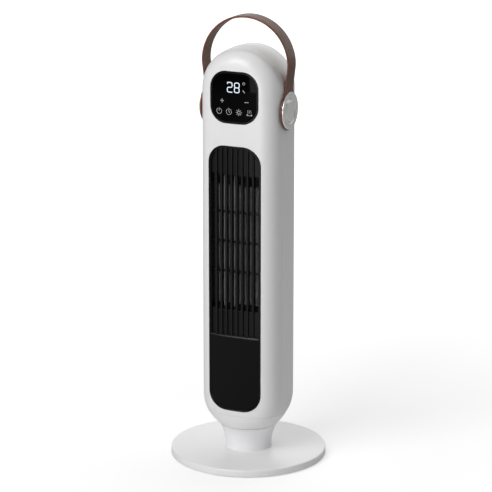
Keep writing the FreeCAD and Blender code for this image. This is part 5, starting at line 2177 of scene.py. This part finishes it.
class Base:
    """The round base, its neck, feet and cord gland."""

    def __init__(self, sizes: BaseSizes = BaseSizes()) -> None:
        """Keeps the sizes."""
        self.sizes = sizes

    def cover(self) -> None:
        """The base's cover, with the gland's notch in its rear rim."""
        sizes = self.sizes
        radius, hole, low, top = sizes.radius, sizes.hole, sizes.low, sizes.top
        inner, under = radius - sizes.wall, top - sizes.wall
        profile = smooth_profile([
            (hole, under, 0), (inner, under, 1.0 * MM), (inner, low, 0.3 * MM),
            (radius, low, 0.5 * MM), (radius, top, sizes.edge), (hole, top, 0),
        ], 6)
        cover = MeshMaker.lathe("visual_base_cover", profile, 192)
        half, height = sizes.gland_width / 2 + 0.15 * MM, low + sizes.gland_height + 0.3 * MM
        notch = MeshMaker.box("notch", Vector((-half, radius - sizes.gland_depth, 0)),
                              Vector((half, radius + 5 * MM, height)))
        MeshMaker.carve(cover, [notch])
        ride(cover, Body.BASE, "base", "white_base", "base_cover")

    def neck(self) -> None:
        """The trumpet-shaped neck."""
        sizes = self.sizes
        rise = sizes.neck_top - sizes.neck_bend
        across = sizes.neck_mouth - sizes.neck_foot
        chord = math.hypot(across, rise)
        tilt = math.atan2(across, rise)
        half = math.asin(chord / 2 / sizes.neck_curve)
        outside = []
        middle = ((sizes.neck_foot + sizes.neck_mouth) / 2, (sizes.neck_bend + sizes.neck_top) / 2)
        sagitta = math.sqrt(sizes.neck_curve ** 2 - (chord / 2) ** 2)
        centre = (middle[0] + math.cos(tilt) * sagitta, middle[1] - math.sin(tilt) * sagitta)
        for step in range(25):
            turn = math.pi - tilt + half - 2 * half * step / 24
            outside.append((centre[0] + sizes.neck_curve * math.cos(turn),
                            centre[1] + sizes.neck_curve * math.sin(turn)))
        mouth, top, wall = sizes.neck_mouth, sizes.neck_top, sizes.neck_wall
        edge, deck, foot = 0.5 * MM, 3.5 * MM, sizes.neck_foot
        lip = [(mouth - 0.1 * MM + edge * (math.cos(turn) - 1), top - edge + edge * math.sin(turn))
               for turn in sweep(90, 5)]
        foot_flare = [(foot + edge * (1 - math.sin(turn)), sizes.top + edge * (1 - math.cos(turn)))
                      for turn in sweep(90, 4)]
        inner = [(sizes.post_hole, top), (sizes.post_hole, top - deck), (mouth - 5.0 * MM, top - deck),
                 (foot - wall, sizes.neck_bend), (foot - wall, sizes.top)]
        profile = foot_flare + outside[:-1] + lip + inner
        neck = MeshMaker.lathe("visual_neck_collar", profile, 144)
        ride(neck, Body.BASE, "neck", "white_neck", "neck_collar")

    def gland(self) -> None:
        """The rubber gland, with rounded edges and its cord hole."""
        sizes = self.sizes
        half, rim, low = sizes.gland_width / 2, sizes.radius, sizes.low
        body = MeshMaker.box("visual_cord_gland",
                             Vector((-half, rim - sizes.gland_depth + 0.2 * MM, low + 0.1 * MM)),
                             Vector((half, rim - 0.3 * MM, low + sizes.gland_height)))
        near, far = rim - 20 * MM, rim + 9 * MM
        bore = [(0.0, near), (sizes.cord_hole, near), (sizes.cord_hole, far), (0.0, far)]
        hole = MeshMaker.lathe("bore", bore, 40, "Y", Vector((0, 0, low + sizes.gland_height / 2)))
        MeshMaker.carve(body, [hole])
        ride(MeshMaker.soften(body, 0.4 * MM, 3), Body.BASE, "rubber", "rubber", "cord_gland")

    def feet(self) -> None:
        """Six rubber feet, copied round the base."""
        sizes = self.sizes
        radius = sizes.foot_radius
        profile = smooth_profile([(0.0, 0.0, 0), (radius * 0.72, 0.0, 0),
                                  (radius * 0.76, 0.25 * MM, 0.1 * MM), (radius * 0.84, 0.0, 0.1 * MM),
                                  (radius - 0.4 * MM, 0.0, 0.3 * MM),
                                  (radius, sizes.low, 0), (0.0, sizes.low, 0)], 3)
        foot = MeshMaker.lathe("foot", profile, 48, "Z", Vector((sizes.foot_circle, 0, 0)))
        values = {"Count": sizes.feet, "Start Angle": 0.0, "Piece": foot, "Material": PALETTE.get("rubber")}
        feet = grown("visual_rubber_feet", Copies.ring(), values, foot)
        ride(feet, Body.BASE, "rubber", "rubber", "rubber_feet")

    def screws(self) -> None:
        """The rim screws under the base, with cross recesses."""
        low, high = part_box("base_screws")
        head, shank, face = 2.6 * MM, 1.3 * MM, low.z + 0.8 * MM
        circle = high.x - head
        profile = smooth_profile([(0.0, low.z, 0), (1.9 * MM, low.z, 0),
                                  (head, low.z + 0.35 * MM, 0.15 * MM), (head, face, 0), (shank, face, 0),
                                  (shank, high.z, 0), (0.0, high.z, 0)], 3)
        screw = MeshMaker.lathe("screw", profile, 32, "Z", Vector((circle, 0, 0)))
        arms = []
        for wide, long in ((0.35, 1.4), (1.4, 0.35)):
            arms.append(MeshMaker.box("arm", Vector((circle - wide * MM, -long * MM, low.z - 1 * MM)),
                                      Vector((circle + wide * MM, long * MM, low.z + 0.45 * MM))))
        MeshMaker.carve(screw, arms)
        values = {"Count": 6, "Start Angle": 0.0, "Piece": screw, "Material": PALETTE.get("steel")}
        screws = grown("visual_base_screws", Copies.ring(), values, screw)
        ride(screws, Body.BASE, "steel", "steel", "base_screws")

    def build(self) -> None:
        """Builds every visible piece of the base."""
        self.cover()
        self.neck()
        self.gland()
        self.feet()
        self.screws()


# ------------------------------------------------------------------------------------------- kept nodes


class KeptNodes:
    """The frame's own nodes that stay: their material slots are filled by the record's slot names."""

    SLOTS = {
        "white_shell": "shell", "white_base": "base", "white_neck": "neck", "pivot_white": "cap",
        "black_gloss": "panel", "black_satin": "grille", "bezel_black": "rim", "trim_silver": "trim",
        "leather_taupe": "leather", "leather_edge": "edge", "steel": "steel", "fin_aluminium": "fin",
        "ceramic": "ceramic", "heater_black": "heater_black", "fan_black": "inner_black",
        "inner_grey": "inner_grey", "acetal": "acetal", "board_green": "board", "part_black": "part_black",
        "relay_blue": "relay",
        "digits": "dim", "filter_mesh": "mesh", "rubber": "rubber", "motor_steel": "motor",
    }

    def build(self) -> None:
        """Gives every node of the frame its finish."""
        for name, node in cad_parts.items():
            for slot in node.material_slots:
                known = slot.material.name if slot.material else ""
                finish = next((word for key, word in self.SLOTS.items() if key in known), None)
                if finish is None:
                    LOG.warning("%s: no finish for %s", name, known or "an empty slot")
                    continue
                slot.material = PALETTE.get(finish)
        LOG.info("dressed %d nodes of the frame", len(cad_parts))


# ------------------------------------------------------------------------------------------- studio


@dataclass(frozen=True)
class Softbox:
    """One area light, aimed at a point."""

    name: str
    place: tuple[float, float, float]
    target: tuple[float, float, float]
    width: float
    height: float
    power: float

    def build(self) -> None:
        """Builds the light."""
        lamp = bpy.data.lights.new(self.name, "AREA")
        lamp.shape = "RECTANGLE"
        lamp.size, lamp.size_y, lamp.energy = self.width, self.height, self.power
        holder = bpy.data.objects.new(self.name, lamp)
        holder.location = self.place
        way = Vector(self.target) - Vector(self.place)
        holder.rotation_euler = way.to_track_quat("-Z", "Y").to_euler()
        bpy.context.scene.collection.objects.link(holder)


@dataclass(frozen=True)
class Studio:
    """Floor, world, lights and camera."""

    lens: float = 175.6
    turn: float = 25.0
    rise: float = 15.09
    distance: float = 3.661
    target: tuple[float, float, float] = (-0.00353, -0.00164, 0.3315)
    ambient: float = 0.14
    backdrop: float = 1.25
    floor_half: float = 14.0
    floor_grey: float = 0.62
    floor_roughness: float = 0.9
    floor_specular: float = 0.1
    floor_near: float = 0.5
    floor_far: float = 1.0
    glow_near: float = 0.3
    glow_far: float = 2.5
    lights: tuple[Softbox, ...] = (
        Softbox("key", (-0.9, -2.3, 2.4), (0.0, 0.0, 0.3), 2.0, 1.8, 56.0),
        Softbox("fill", (0.2, -3.2, 0.5), (0.0, 0.0, 0.15), 1.6, 1.0, 25.0),
        Softbox("top", (0.2, 0.6, 2.8), (0.0, 0.0, 0.3), 2.0, 1.6, 13.0),
    )

    def floor(self) -> None:
        """A plain pale floor, which glows for the camera only, more so further out."""
        size, grey = self.floor_half, self.floor_grey
        corners = [Vector((x * size, y * size, 0)) for x, y in ((-1, -1), (1, -1), (1, 1), (-1, 1))]
        floor = MeshMaker.finish("floor", corners, [(0, 1, 2, 3)])
        shader = Shader("studio_floor")
        shader.put("Base Color", (grey, grey, grey, 1.0))
        shader.put("Roughness", self.floor_roughness)
        shader.put("Specular IOR Level", self.floor_specular)
        shader.put("Emission Color", (1.0, 1.0, 1.0, 1.0))
        reach = shader.nodes.new("ShaderNodeVectorMath")
        reach.operation = "LENGTH"
        shader.links.new(shader.coords, reach.inputs[0])
        seen = shader.nodes.new("ShaderNodeLightPath").outputs["Is Camera Ray"]
        glow = shader.spread(
            reach.outputs["Value"], self.floor_near, self.floor_far, self.glow_near, self.glow_far
        )
        shown = shader.nodes.new("ShaderNodeMath")
        shown.operation = "MULTIPLY"
        shader.links.new(glow, shown.inputs[0])
        shader.links.new(seen, shown.inputs[1])
        shader.link(shown.outputs["Value"], "Emission Strength")
        floor.data.materials.append(shader.material)

    def world(self) -> None:
        """A soft world, brighter behind the heater; the camera itself sees it as white."""
        world = bpy.data.worlds.new("studio")
        world.use_nodes = True
        nodes, links = world.node_tree.nodes, world.node_tree.links
        background = nodes["Background"]
        seen = nodes.new("ShaderNodeLightPath").outputs["Is Camera Ray"]
        parts = nodes.new("ShaderNodeSeparateXYZ")
        links.new(nodes.new("ShaderNodeTexCoord").outputs["Generated"], parts.inputs[0])
        behind = nodes.new("ShaderNodeMapRange")
        behind.interpolation_type = "SMOOTHSTEP"
        limits = {"From Min": 0.2, "From Max": 0.95, "To Min": self.ambient, "To Max": self.backdrop}
        for socket, value in limits.items():
            behind.inputs[socket].default_value = value
        links.new(parts.outputs["Y"], behind.inputs["Value"])
        strength = nodes.new("ShaderNodeMix")
        strength.inputs["B"].default_value = 1.0
        links.new(seen, strength.inputs["Factor"])
        links.new(behind.outputs["Result"], strength.inputs["A"])
        links.new(strength.outputs["Result"], background.inputs["Strength"])
        background.inputs["Color"].default_value = (1.0, 1.0, 1.0, 1.0)
        bpy.context.scene.world = world

    def camera(self) -> None:
        """A long lens, a little above the heater and to its right."""
        turn, rise = math.radians(self.turn), math.radians(self.rise)
        back = Vector((math.sin(turn) * math.cos(rise), -math.cos(turn) * math.cos(rise), math.sin(rise)))
        data = bpy.data.cameras.new("camera")
        data.lens, data.sensor_width, data.clip_end = self.lens, 36.0, 20.0
        holder = bpy.data.objects.new("camera", data)
        holder.location = Vector(self.target) + back * self.distance
        holder.rotation_euler = (-back).to_track_quat("-Z", "Y").to_euler()
        bpy.context.scene.collection.objects.link(holder)
        bpy.context.scene.camera = holder

    def build(self) -> None:
        """Builds the whole studio."""
        self.floor()
        self.world()
        for light in self.lights:
            light.build()
        self.camera()
        bpy.context.scene.view_settings.view_transform = "Standard"


def main() -> None:
    """Builds the heater over its frame, reporting each piece."""
    logging.basicConfig(level=logging.INFO, format="%(name)s %(message)s")
    form = head_form()
    outlet, display, cover = Outlet(form), Display(form), FilterCover(form)
    Studio().build()
    KeptNodes().build()
    Column(form).build([outlet.window, display.window], cover.window)
    outlet.build()
    HeatingCore().build()
    display.build()
    cover.build()
    Handle().build()
    Base().build()


if __name__ == "__main__":
    main()
